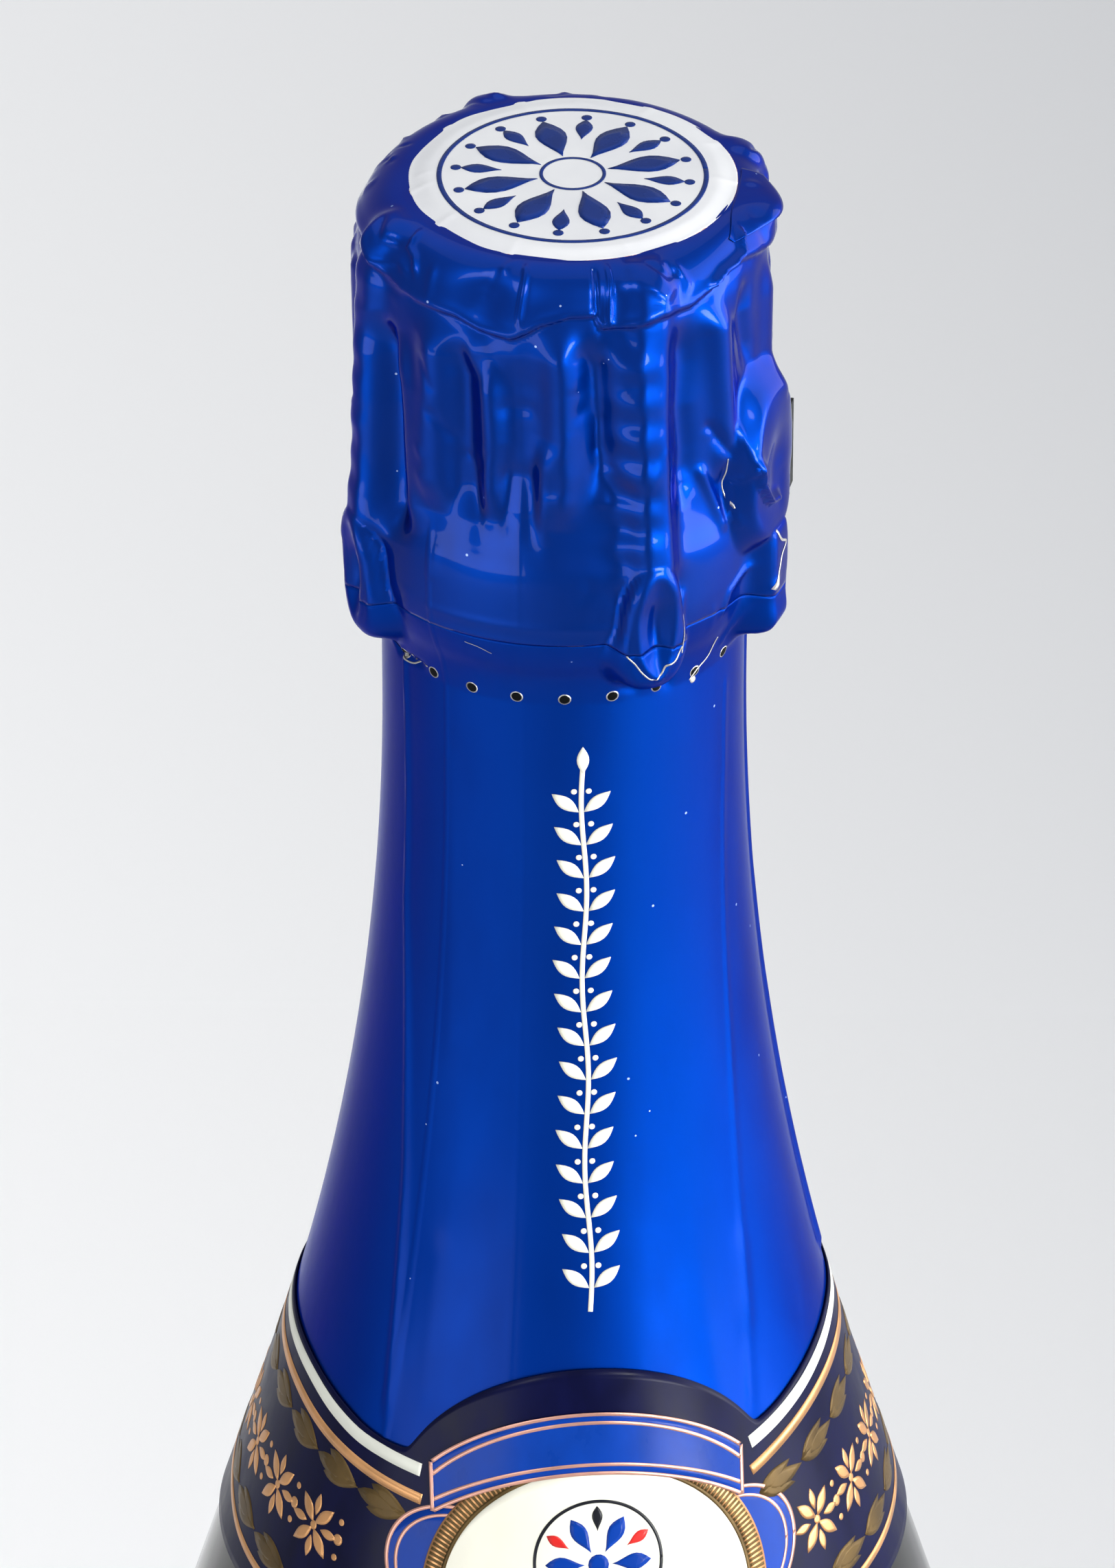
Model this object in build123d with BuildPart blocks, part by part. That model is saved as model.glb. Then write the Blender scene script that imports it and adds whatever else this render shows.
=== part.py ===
from build123d import *
import os
from math import acos, cos, degrees, radians, sin, tan

# Champagne bottle, closed and wired, millimetres.
# Z runs up the bottle's axis from the surface it stands on, and the labels face -Y.
# An azimuth is counted from the front, counter-clockwise seen from above.

# Driving dimensions of the glass
glass_height = 299.5
body_radius = 44.2
neck_radius = 15.05
neck_height = 30.0
neck_flare_radius = 244.0
shoulder_angle = 17.1
shoulder_radius = 126.0
body_wall = 5.2
neck_wall = 4.7
mouth_wall = 5.5
bore_depth = 25.0
bore_taper_height = 14.0
heel_radius = 9.0
heel_bearing_width = 2.2
inner_heel_radius = 5.0
floor_thickness = 8.0
punt_height = 34.0
punt_thickness = 10.0

# Shapes of the curved outlines, as shares of the sizes that they span
punt_crown_share = 0.36
punt_foot_share = 0.94
punt_rise_share = 0.35
floor_low_share = 0.73
floor_high_share = 0.745
cork_flare_share = 0.85
cork_rise_share = 0.6
foil_flare_share = 0.55
twist_flat_share = 0.55

# Glass finish: the ring that the wire grips and the bead at the mouth, as steps from the neck
grip_ring_step = 1.95
grip_ring_drop = 10.0
grip_ring_height = 3.5
grip_ring_taper = 3.7
grip_ring_shoulder = 3.4
bead_inset = 0.75
waist_inset = 1.55
bead_height = 5.2
bead_round = 1.5
lip_round = 1.0

# Wine
fill_drop = 71.5
wine_clearance = 0.05

# Cork
cork_clearance = 0.05
cork_insert = 24.0
cork_disc_thickness = 4.0
cork_neck_height = 3.6
cork_head_overhang = 6.3
cork_head_height = 16.8
cork_barrel_height = 7.6

# Cap plate on the cork, pressed in tinplate
plate_overhang = 0.4
plate_thickness = 0.3
plate_groove_width = 2.7
plate_step = 0.9
plate_rim_depth = 1.4
plate_seat = 0.02

# Wire cage
wire_diameter = 0.95
wire_clearance = 0.02
top_ring_step = 1.05
leg_azimuths = (18.5, 108.5, 198.5, 288.5)
leg_shoulder_step = 0.1
leg_bend_radius = 0.9
leg_top_step = 1.4
leg_top_drop = 3.3
leg_foot_step = 1.3
leg_foot_rise = 0.1
half_twist_pitch = 3.8
twist_step = 30.0
eye_width = 3.8
eye_height = 9.7
belt_diameter = 1.0
belt_rise = 1.0
belt_neck_gap = 0.1
belt_corner_round = 1.5
belt_eye_gap = 0.08
key_turn = 45.0
key_step = 1.4
key_loop_width = 6.4
key_top_drop = 0.5
key_stem_length = 8.0

# Foil: a sleeve on the neck and a hood over the cork, parted at the tear line
foil_thickness = 0.2
foil_clearance = 0.05
sleeve_lap = 5.0
tear_drop = 16.7
tear_gap = 0.15
flare_rise = 6.8
flare_height = 4.9
hood_step = 0.4
hood_top_gap = 0.26
hood_shoulder_round = 2.0
hood_fold_drop = 3.35
hood_fold_height = 2.2
hood_fold_depth = 0.3
leg_rib_radius = 1.3
eye_rib_margin = 0.45
eye_rib_step = 1.3
key_rib_margin = 0.6
vent_rise = 7.1
vent_diameter = 0.9
vent_count = 24
vent_turn = -5.0
tape_height = 2.0
tape_thickness = 0.1
disc_inset = 3.8
disc_thickness = 0.3
disc_gap = 0.02

# Tear tab, the free end of the tear tape
tab_azimuth = 86.0
tab_root_step = 0.65
tab_length = 5.6
tab_height = 8.0
tab_thickness = 0.25
tab_lift = 0.35
tab_splay = 14.0

# Labels
label_thickness = 0.15
label_gap = 0.1
collar_drop = 85.5
collar_height = 21.6
medallion_radius = 17.6
medallion_rise = 10.0
arch_radius = 17.05
arch_rise = 12.45
front_label_bottom = 34.0
front_label_gap = 3.1
front_label_angle = 144.0
back_label_share = 0.68
back_label_angle = 110.0
label_corner = 3.0

# Radii that follow from the neck
grip_ring_radius = neck_radius + grip_ring_step
bead_radius = neck_radius - bead_inset
waist_radius = neck_radius - waist_inset
bore_radius = bead_radius - mouth_wall
punt_radius = body_radius - heel_radius - heel_bearing_width
cork_head_radius = bore_radius + cork_head_overhang
plate_radius = cork_head_radius + plate_overhang
plate_centre_radius = plate_radius - plate_groove_width
top_ring_radius = plate_centre_radius + top_ring_step
leg_shoulder_radius = plate_radius + leg_shoulder_step
leg_top_radius = plate_radius + leg_top_step
leg_foot_radius = grip_ring_radius + leg_foot_step
key_radius = grip_ring_radius + key_step
hood_radius = grip_ring_radius + hood_step
eye_rib_radius = leg_foot_radius + eye_rib_step
tab_root_radius = hood_radius + tab_root_step
disc_radius = hood_radius - disc_inset

# Heights that follow from the mouth and the neck
neck_base_z = glass_height - neck_height
grip_ring_top = glass_height - grip_ring_drop
fill_z = glass_height - fill_drop
cork_top = glass_height + cork_head_height
plate_groove_z = cork_top - plate_step
groove_z = plate_groove_z + plate_seat
ring_z = groove_z + plate_thickness + wire_diameter / 2 + wire_clearance
leg_top_z = cork_top - leg_top_drop
leg_foot_z = grip_ring_top + leg_foot_rise
eye_bottom_z = leg_foot_z - eye_height
belt_z = eye_bottom_z + belt_rise
key_loop_top = glass_height - key_top_drop
hood_top_z = ring_z + wire_diameter / 2 + hood_top_gap
hood_fold_z = hood_top_z - hood_fold_drop
tear_z = glass_height - tear_drop
flare_low_z = neck_base_z + flare_rise
flare_high_z = flare_low_z + flare_height
vent_ring_z = neck_base_z + vent_rise
collar_bottom_z = neck_base_z - collar_drop
collar_top_z = collar_bottom_z + collar_height
sleeve_bottom_z = collar_bottom_z + sleeve_lap
medallion_z = collar_bottom_z + medallion_rise
arch_z = collar_bottom_z + arch_rise

# Construction
overrun = 5.0

axis_plane = Plane(origin=(0, 0, 0), x_dir=(0, -1, 0), z_dir=(-1, 0, 0))
os.makedirs("parts", exist_ok=True)


def turned(azimuth):
    """Place that turns a shape made at the front to an azimuth."""
    return Location((0, 0, 0), (0, 0, azimuth))


def shoulder_points(shift):
    """Tangent points of the neck flare and the shoulder, for a skin shifted outwards."""
    angle = radians(shoulder_angle)
    flare_r = neck_radius + neck_flare_radius * (1 - cos(angle))
    flare_z = neck_base_z - neck_flare_radius * sin(angle)
    round_r = body_radius - shoulder_radius * (1 - cos(angle))
    round_z = flare_z - (round_r - flare_r) / tan(angle)
    body_z = round_z - shoulder_radius * sin(angle)
    return (
        (body_radius + shift, body_z),
        (round_r + shift, round_z),
        (flare_r + shift, flare_z),
        (neck_radius + shift, neck_base_z),
    )


def shoulder_lines(shift):
    """Outline from the cylinder's top to the neck: arc, cone, arc."""
    body_top, cone_low, cone_high, neck_low = shoulder_points(shift)
    RadiusArc(body_top, cone_low, -shoulder_radius)
    Line(cone_low, cone_high)
    RadiusArc(cone_high, neck_low, neck_flare_radius)
    return neck_low


def cavity_neck(gap):
    """Lower end of the neck's bore, for a solid that stands a gap inside the glass."""
    return (neck_radius - neck_wall - gap, glass_height - bore_depth - bore_taper_height)


def cavity_lines(gap):
    """Inside of the bottle, down from the neck to the floor's middle."""
    inner = shoulder_points(-body_wall - gap)
    slope = radians(shoulder_angle)
    cavity_radius = body_radius - body_wall
    cavity_low = floor_thickness + inner_heel_radius
    trough_radius = cavity_radius - inner_heel_radius
    cavity_top = punt_height + punt_thickness + gap
    Spline(cavity_neck(gap), inner[2], tangents=((0, -1), (sin(slope), -cos(slope))))
    Line(inner[2], inner[1])
    RadiusArc(inner[1], inner[0], shoulder_radius)
    Line(inner[0], (cavity_radius - gap, cavity_low))
    RadiusArc(
        (cavity_radius - gap, cavity_low),
        (trough_radius, floor_thickness + gap),
        inner_heel_radius - gap,
    )
    Bezier(
        (trough_radius, floor_thickness + gap),
        (trough_radius * floor_low_share, floor_thickness + gap),
        (trough_radius * floor_high_share, cavity_top),
        (0, cavity_top),
    )
    return cavity_top


def neck_skin(shift, low_z, high_z):
    """Solid of revolution inside the shoulder and neck outline, cut at two heights."""
    with BuildPart() as skin:
        with BuildSketch(axis_plane):
            with BuildLine():
                neck_low = shoulder_lines(shift)
                body_top = shoulder_points(shift)[0]
                Polyline(neck_low, (0, neck_base_z), (0, 0), (body_top[0], 0), body_top)
            make_face()
        revolve(axis=Axis.Z)
        split(bisect_by=Plane.XY.offset(low_z), keep=Keep.TOP)
        if high_z < neck_base_z:
            split(bisect_by=Plane.XY.offset(high_z), keep=Keep.BOTTOM)
    return skin.part


def foil_envelope(grow):
    """Outside of the whole foil, grown by a wall, before it is parted at the tear line."""
    skin = foil_clearance + grow
    neck_low = shoulder_points(skin)[3]
    hood_r = hood_radius + grow
    crown_z = hood_top_z + grow
    flare_ease = (flare_high_z - flare_low_z) * foil_flare_share
    with BuildPart() as envelope:
        with BuildSketch(axis_plane):
            with BuildLine():
                Line((0, neck_base_z), neck_low)
                Line(neck_low, (neck_low[0], flare_low_z))
                Bezier(
                    (neck_low[0], flare_low_z),
                    (neck_low[0], flare_low_z + flare_ease),
                    (hood_r, flare_high_z - flare_ease),
                    (hood_r, flare_high_z),
                )
                Line((hood_r, flare_high_z), (hood_r, crown_z - hood_shoulder_round - grow))
                RadiusArc(
                    (hood_r, crown_z - hood_shoulder_round - grow),
                    (hood_r - hood_shoulder_round - grow, crown_z),
                    -(hood_shoulder_round + grow),
                )
                Line((hood_r - hood_shoulder_round - grow, crown_z), (0, crown_z))
                Line((0, crown_z), (0, neck_base_z))
            make_face()
        revolve(axis=Axis.Z)
        add(neck_skin(skin, sleeve_bottom_z, neck_base_z))
        with Locations(*[turned(azimuth) for azimuth in leg_azimuths]):
            add(leg_rib(grow))
            add(eye_rib(grow))
        with Locations(turned(leg_azimuths[0] + key_turn)):
            add(key_rib(grow))
    return envelope.part


def leg_rib(grow):
    """Foil room round one leg, a round bar along it."""
    top = Vector(0, -leg_top_radius, leg_top_z)
    foot = Vector(0, -leg_foot_radius, eye_bottom_z + eye_width)
    with BuildPart() as rib:
        with BuildSketch(Plane(origin=foot, x_dir=(1, 0, 0), z_dir=top - foot)):
            Circle(leg_rib_radius + grow)
        extrude(amount=(top - foot).length)
        with Locations(top):
            Sphere(leg_rib_radius + grow)
    return rib.part


def upright_room(width, bottom_z, top_z, outer_radius, edge_round):
    """Room with round ends for a flat loop that stands in front of the neck."""
    with BuildPart() as room:
        with BuildSketch(Plane.XZ.offset(neck_radius)):
            with Locations((0, (bottom_z + top_z) / 2)):
                SlotOverall(top_z - bottom_z, width, rotation=90)
        extrude(amount=outer_radius - neck_radius)
        fillet(room.edges().group_by(Axis.Y)[0], radius=edge_round)
    return room.part


def eye_rib(grow):
    """Foil room round the eye at the foot of a leg."""
    margin = eye_rib_margin + grow
    return upright_room(
        eye_width + 2 * margin,
        eye_bottom_z - margin,
        leg_foot_z + margin,
        eye_rib_radius + grow,
        wire_diameter,
    )


def key_rib(grow):
    """Foil room round the folded-up key."""
    margin = key_rib_margin + grow
    return upright_room(
        key_loop_width + 2 * margin,
        eye_bottom_z - margin,
        key_loop_top + margin,
        eye_rib_radius + grow,
        wire_diameter,
    )


def wire_loop(width, bottom_z, top_z, centre_radius):
    """Closed upright loop of wire in front of the neck."""
    run = (top_z - bottom_z) / 2 - width / 2
    half = (width - wire_diameter) / 2
    middle = Plane(
        origin=(0, -centre_radius, (bottom_z + top_z) / 2), x_dir=(1, 0, 0), z_dir=(0, -1, 0)
    )
    with BuildPart() as loop:
        with BuildLine(middle):
            Line((half, -run), (half, run))
            RadiusArc((half, run), (-half, run), -half)
            Line((-half, run), (-half, -run))
            RadiusArc((-half, -run), (half, -run), -half)
        with BuildSketch(Plane(middle.from_local_coords((half, 0, 0)), x_dir=(1, 0, 0), z_dir=(0, 0, 1))):
            Circle(wire_diameter / 2)
        sweep()
    return loop.part


def twisted_pair(start, end):
    """Two wires twisted together, as a turning oval bar."""
    length = (end - start).length
    steps = round(length / half_twist_pitch * (180 / twist_step))
    along = (end - start).normalized()
    with BuildPart() as pair:
        for step in range(steps + 1):
            place = Plane(origin=start + along * (length * step / steps), x_dir=(1, 0, 0), z_dir=along)
            with BuildSketch(place):
                Ellipse(wire_diameter, wire_diameter * twist_flat_share, rotation=step * twist_step)
        loft(ruled=True)
    return pair.part


with BuildPart() as glass_bottle:
    with BuildSketch(axis_plane):
        with BuildLine():
            # Outside, from the punt over the heel, shoulder, neck and finish to the lip
            Bezier(
                (0, punt_height),
                (punt_radius * punt_crown_share, punt_height),
                (punt_radius * punt_foot_share, punt_height * punt_rise_share),
                (punt_radius, 0),
            )
            heel_in = body_radius - heel_radius
            Line((punt_radius, 0), (heel_in, 0))
            RadiusArc((heel_in, 0), (body_radius, heel_radius), -heel_radius)
            Line((body_radius, heel_radius), shoulder_points(0)[0])
            neck_top = shoulder_lines(0)
            ring_low = grip_ring_top - grip_ring_height
            bead_low = glass_height - bead_height
            Polyline(
                neck_top,
                (neck_radius, ring_low - grip_ring_taper),
                (grip_ring_radius, ring_low),
                (grip_ring_radius, grip_ring_top),
                (waist_radius, grip_ring_top + grip_ring_shoulder),
                (waist_radius, bead_low),
                (bead_radius, bead_low + bead_round),
                (bead_radius, glass_height - bead_round),
                (bead_radius - lip_round, glass_height),
                (bore_radius, glass_height),
                (bore_radius, glass_height - bore_depth),
                cavity_neck(0),
            )
            # Inside, down the neck and shoulder to the floor
            cavity_top = cavity_lines(0)
            Line((0, cavity_top), (0, punt_height))
        make_face()
    revolve(axis=Axis.Z)
glass_bottle.part.label = "glass_bottle"
export_step(glass_bottle.part, "parts/glass_bottle.step")

with BuildPart() as wine:
    with BuildSketch(axis_plane):
        with BuildLine():
            wine_punt_z = cavity_lines(wine_clearance)
            wine_neck = cavity_neck(wine_clearance)
            Polyline((0, wine_punt_z), (0, wine_neck[1]), wine_neck)
        make_face()
    revolve(axis=Axis.Z)
    split(bisect_by=Plane.XY.offset(fill_z), keep=Keep.BOTTOM)
wine.part.label = "wine"
export_step(wine.part, "parts/wine.step")

cork_radius = bore_radius - cork_clearance
cork_bottom = glass_height - cork_insert
disc_names = ("cork_disc_lower", "cork_disc_upper")
for level, disc_name in enumerate(disc_names):
    with BuildPart() as cork_disc:
        with BuildSketch(Plane.XY.offset(cork_bottom + level * cork_disc_thickness)):
            Circle(cork_radius)
        extrude(amount=cork_disc_thickness)
    cork_disc.part.label = disc_name
    export_step(cork_disc.part, f"parts/{disc_name}.step")

with BuildPart() as cork_body:
    with BuildSketch(axis_plane):
        with BuildLine():
            head_low = glass_height + cork_neck_height
            barrel_top = head_low + cork_barrel_height
            Polyline(
                (0, cork_bottom + len(disc_names) * cork_disc_thickness),
                (cork_radius, cork_bottom + len(disc_names) * cork_disc_thickness),
                (cork_radius, glass_height + cork_clearance),
            )
            Bezier(
                (cork_radius, glass_height + cork_clearance),
                (cork_head_radius * cork_flare_share, glass_height + cork_clearance),
                (cork_head_radius, head_low - cork_neck_height * cork_rise_share),
                (cork_head_radius, head_low),
            )
            Line((cork_head_radius, head_low), (cork_head_radius, barrel_top))
            rim_low = plate_groove_z - plate_rim_depth
            Polyline(
                (cork_head_radius, barrel_top),
                (cork_head_radius, rim_low),
                (plate_centre_radius + plate_step, plate_groove_z),
                (plate_centre_radius, plate_groove_z),
                (plate_centre_radius - plate_step, cork_top),
                (0, cork_top),
                (0, cork_bottom + len(disc_names) * cork_disc_thickness),
            )
        make_face()
    revolve(axis=Axis.Z)
cork_body.part.label = "cork_body"
export_step(cork_body.part, "parts/cork_body.step")

with BuildPart() as cage_cap_plate:
    with BuildSketch(axis_plane):
        with BuildLine():
            top_z = cork_top + plate_seat
            Polyline(
                (0, top_z),
                (plate_centre_radius - plate_step + plate_seat, top_z),
                (plate_centre_radius + plate_seat, groove_z),
                (plate_radius - plate_thickness, groove_z),
                (plate_radius - plate_thickness, groove_z - plate_rim_depth),
                (plate_radius, groove_z - plate_rim_depth),
                (plate_radius, groove_z + plate_thickness),
                (plate_centre_radius + plate_thickness, groove_z + plate_thickness),
                (plate_centre_radius - plate_step + plate_thickness, top_z + plate_thickness),
                (0, top_z + plate_thickness),
                (0, top_z),
            )
        make_face()
    revolve(axis=Axis.Z)
cage_cap_plate.part.label = "cage_cap_plate"
export_step(cage_cap_plate.part, "parts/cage_cap_plate.step")

with BuildPart() as cage_top_ring:
    with BuildSketch(axis_plane):
        with Locations((top_ring_radius, ring_z)):
            Circle(wire_diameter / 2)
    revolve(axis=Axis.Z)
cage_top_ring.part.label = "cage_top_ring"
export_step(cage_top_ring.part, "parts/cage_top_ring.step")

leg_top = Vector(0, -leg_top_radius, leg_top_z)
leg_foot = Vector(0, -leg_foot_radius, leg_foot_z - wire_diameter)
for number, azimuth in enumerate(leg_azimuths, start=1):
    with BuildPart() as cage_leg:
        with BuildLine(axis_plane) as over_rim:
            inner_end = (top_ring_radius + wire_diameter / 2 + wire_clearance, ring_z)
            corner = (leg_shoulder_radius + leg_bend_radius, ring_z - leg_bend_radius)
            Line(inner_end, (leg_shoulder_radius, ring_z))
            RadiusArc((leg_shoulder_radius, ring_z), corner, leg_bend_radius)
            Line(corner, (leg_top_radius, leg_top_z - wire_diameter))
        with BuildSketch(Plane(origin=(0, -inner_end[0], ring_z), x_dir=(1, 0, 0), z_dir=(0, -1, 0))):
            with GridLocations(wire_diameter, 0, 2, 1):
                Circle(wire_diameter / 2)
            Rectangle(wire_diameter, wire_diameter / 2)
        sweep(path=over_rim.line, transition=Transition.ROUND)
        add(twisted_pair(leg_top, leg_foot))
        add(wire_loop(eye_width, eye_bottom_z, leg_foot_z, leg_foot_radius))
    placed = cage_leg.part.moved(turned(azimuth))
    placed.label = f"cage_leg_{number}"
    export_step(placed, f"parts/cage_leg_{number}.step")

belt_wrap_radius = neck_radius + belt_neck_gap + belt_diameter / 2
eye_back_radius = leg_foot_radius - wire_diameter / 2 - belt_eye_gap
belt_corner_radius = eye_back_radius - belt_diameter / 2
wrap_angle = degrees(acos(belt_wrap_radius / belt_corner_radius))
belt_middle_radius = belt_wrap_radius / cos(radians(key_turn - wrap_angle))
belt_points = []
belt_rounds = []
for azimuth in leg_azimuths:
    holds_key = azimuth == leg_azimuths[0]
    belt_points.append((belt_corner_radius, azimuth))
    belt_rounds.append(belt_corner_round)
    belt_points.append((belt_corner_radius if holds_key else belt_middle_radius, azimuth + key_turn))
    belt_rounds.append(belt_corner_round if holds_key else belt_wrap_radius)
with BuildPart() as cage_belt_wire:
    with BuildLine(Plane.XY.offset(belt_z)) as belt_path:
        corners = [
            (radius * sin(radians(azimuth)), -radius * cos(radians(azimuth)))
            for radius, azimuth in belt_points
        ]
        FilletPolyline(*corners, radius=belt_rounds, close=True)
    with BuildSketch(Plane(origin=belt_path.line @ 0, z_dir=belt_path.line % 0)):
        Circle(belt_diameter / 2)
    sweep(path=belt_path.line)
cage_belt_wire.part.label = "cage_belt_wire"
export_step(cage_belt_wire.part, "parts/cage_belt_wire.step")

with BuildPart() as cage_key:
    stem_foot = Vector(0, -key_radius, eye_bottom_z + wire_diameter / 2)
    stem_head = stem_foot + Vector(0, 0, key_stem_length)
    add(twisted_pair(stem_foot, stem_head))
    add(wire_loop(key_loop_width, stem_head.Z - wire_diameter, key_loop_top, key_radius))
placed = cage_key.part.moved(turned(leg_azimuths[0] + key_turn))
placed.label = "cage_key"
export_step(placed, "parts/cage_key.step")

inner_foil = foil_envelope(0)
outer_foil = foil_envelope(foil_thickness)
with BuildPart() as foil_hood_skirt:
    add(outer_foil)
    with BuildSketch(axis_plane):
        with Locations((hood_radius, hood_fold_z)):
            Ellipse(hood_fold_depth + foil_thickness, hood_fold_height / 2)
    revolve(axis=Axis.Z)
    add(inner_foil, mode=Mode.SUBTRACT)
    split(bisect_by=Plane.XY.offset(tear_z + tear_gap), keep=Keep.TOP)
foil_hood_skirt.part.label = "foil_hood_skirt"
export_step(foil_hood_skirt.part, "parts/foil_hood_skirt.step")

vent_places = [
    Location((0, 0, vent_ring_z), (0, 0, vent_turn + 360 * index / vent_count))
    for index in range(vent_count)
]
with BuildPart() as neck_foil_sleeve:
    add(outer_foil)
    add(inner_foil, mode=Mode.SUBTRACT)
    split(bisect_by=Plane.XY.offset(tear_z), keep=Keep.BOTTOM)
    with Locations(*vent_places):
        Cylinder(
            vent_diameter / 2,
            neck_radius + overrun,
            rotation=(90, 0, 0),
            align=(Align.CENTER, Align.CENTER, Align.MIN),
            mode=Mode.SUBTRACT,
        )
neck_foil_sleeve.part.label = "neck_foil_sleeve"
export_step(neck_foil_sleeve.part, "parts/neck_foil_sleeve.step")

tape_outside = foil_envelope(foil_thickness + tape_thickness)
tape_low = tear_z + tear_gap
with BuildPart() as foil_tear_tape:
    with BuildSketch(Plane.XY.offset(tape_low)):
        Circle(eye_rib_radius + overrun)
    extrude(amount=tape_height)
    add(tape_outside, mode=Mode.INTERSECT)
    add(outer_foil, mode=Mode.SUBTRACT)
foil_tear_tape.part.label = "foil_tear_tape"
export_step(foil_tear_tape.part, "parts/foil_tear_tape.step")

with BuildPart() as foil_top_disc:
    with BuildSketch(Plane.XY.offset(hood_top_z + foil_thickness + disc_gap)):
        Circle(disc_radius)
    extrude(amount=disc_thickness)
    fillet(foil_top_disc.edges().group_by(Axis.Z)[-1], radius=disc_thickness / 2)
foil_top_disc.part.label = "foil_top_disc"
export_step(foil_top_disc.part, "parts/foil_top_disc.step")

tab_angle = radians(tab_azimuth)
tab_root = Vector(tab_root_radius * sin(tab_angle), -tab_root_radius * cos(tab_angle), tape_low + tape_height)
with BuildPart() as tear_tab:
    with BuildSketch(Plane(origin=tab_root + Vector(0, 0, tab_lift)).rotated((0, 0, tab_azimuth - tab_splay))):
        with Locations((tab_length / 2, 0)):
            Rectangle(tab_length, tab_thickness)
    extrude(amount=tab_height)
tear_tab.part.label = "tear_tab"
export_step(tear_tab.part, "parts/tear_tab.step")


def glass_wrap(low_z, high_z, angle):
    """Label wrapped on the cylinder, centred on the front, as a curved sheet."""
    with BuildPart() as wrap:
        with BuildSketch(Plane.XY.offset(low_z)):
            Circle(body_radius + label_gap + label_thickness)
            Circle(body_radius + label_gap, mode=Mode.SUBTRACT)
        extrude(amount=high_z - low_z)
        width = 2 * body_radius * sin(radians(angle / 2))
        with BuildSketch(Plane.XZ):
            with Locations((0, (low_z + high_z) / 2)):
                RectangleRounded(width, high_z - low_z, label_corner)
        extrude(amount=body_radius + overrun, mode=Mode.INTERSECT)
    return wrap.part


body_top_z = shoulder_points(0)[0][1]
front_label_height = body_top_z - front_label_gap - front_label_bottom
front_label = glass_wrap(
    front_label_bottom,
    front_label_bottom + front_label_height,
    front_label_angle,
)
front_label.label = "front_label"
export_step(front_label, "parts/front_label.step")

back_label = glass_wrap(
    front_label_bottom,
    front_label_bottom + front_label_height * back_label_share,
    back_label_angle,
).moved(turned(180))
back_label.label = "back_label"
export_step(back_label, "parts/back_label.step")

collar_inside = foil_clearance + foil_thickness + label_gap
collar_low = medallion_z - medallion_radius
collar_high = arch_z + arch_radius
with BuildPart() as collar_label:
    add(neck_skin(collar_inside + label_thickness, collar_low, collar_high))
    add(neck_skin(collar_inside, collar_low, collar_high), mode=Mode.SUBTRACT)
    with BuildSketch(Plane.XZ) as outline:
        with Locations((0, (collar_bottom_z + collar_top_z) / 2)):
            Rectangle(2 * (body_radius + overrun), collar_top_z - collar_bottom_z)
        with Locations((0, medallion_z)):
            Circle(medallion_radius)
        with Locations((0, arch_z)):
            Circle(arch_radius)
    extrude(amount=body_radius + overrun, mode=Mode.INTERSECT)
    front_part = collar_label.part
with BuildPart() as collar_band:
    add(neck_skin(collar_inside + label_thickness, collar_bottom_z, collar_top_z))
    add(neck_skin(collar_inside, collar_bottom_z, collar_top_z), mode=Mode.SUBTRACT)
    add(front_part)
collar_band.part.label = "collar_label"
export_step(collar_band.part, "parts/collar_label.step")
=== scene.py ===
# %% [markdown]
# A champagne bottle, closed and wired, seen from a little above its neck.
# The construction is already made and packed, with every solid at its real place and size.
# This lesson dresses it: the two foils, the printed collar, the glass and the small steel and cork parts.
# All lengths are in metres in Blender, and the shapes are worked out in millimetres and scaled once.

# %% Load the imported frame
import math

import bmesh
import bpy
import numpy as np
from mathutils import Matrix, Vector


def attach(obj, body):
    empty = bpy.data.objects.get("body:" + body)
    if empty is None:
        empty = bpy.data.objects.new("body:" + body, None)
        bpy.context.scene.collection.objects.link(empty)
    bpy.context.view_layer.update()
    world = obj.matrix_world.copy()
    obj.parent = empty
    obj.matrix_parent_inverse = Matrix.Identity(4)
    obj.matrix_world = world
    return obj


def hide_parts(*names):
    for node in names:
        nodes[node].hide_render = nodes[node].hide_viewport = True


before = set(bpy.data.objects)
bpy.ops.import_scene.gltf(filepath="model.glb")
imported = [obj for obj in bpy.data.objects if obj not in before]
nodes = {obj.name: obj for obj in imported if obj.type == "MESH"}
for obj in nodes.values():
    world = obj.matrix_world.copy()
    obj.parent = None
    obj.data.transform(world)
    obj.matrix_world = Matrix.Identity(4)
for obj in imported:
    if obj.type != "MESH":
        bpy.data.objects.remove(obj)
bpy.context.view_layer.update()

MM = 0.001
print("nodes:", len(nodes))

# %% [markdown]
# The glass outline is two arcs and a cone between them: a wide shoulder arc, a straight slope and a
# long hollow flare into the neck. The foil and the collar lie on that outline, so it is a function
# that every skin below can ask for its radius at a height.

# %% Outline of the glass
body_radius = 44.2
neck_radius = 15.05
neck_base = 269.5
flare_radius = 244.0
shoulder_slope = math.radians(17.1)
shoulder_radius = 126.0
arc_share = 0.9
sleeve_lift = 0.25


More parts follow.
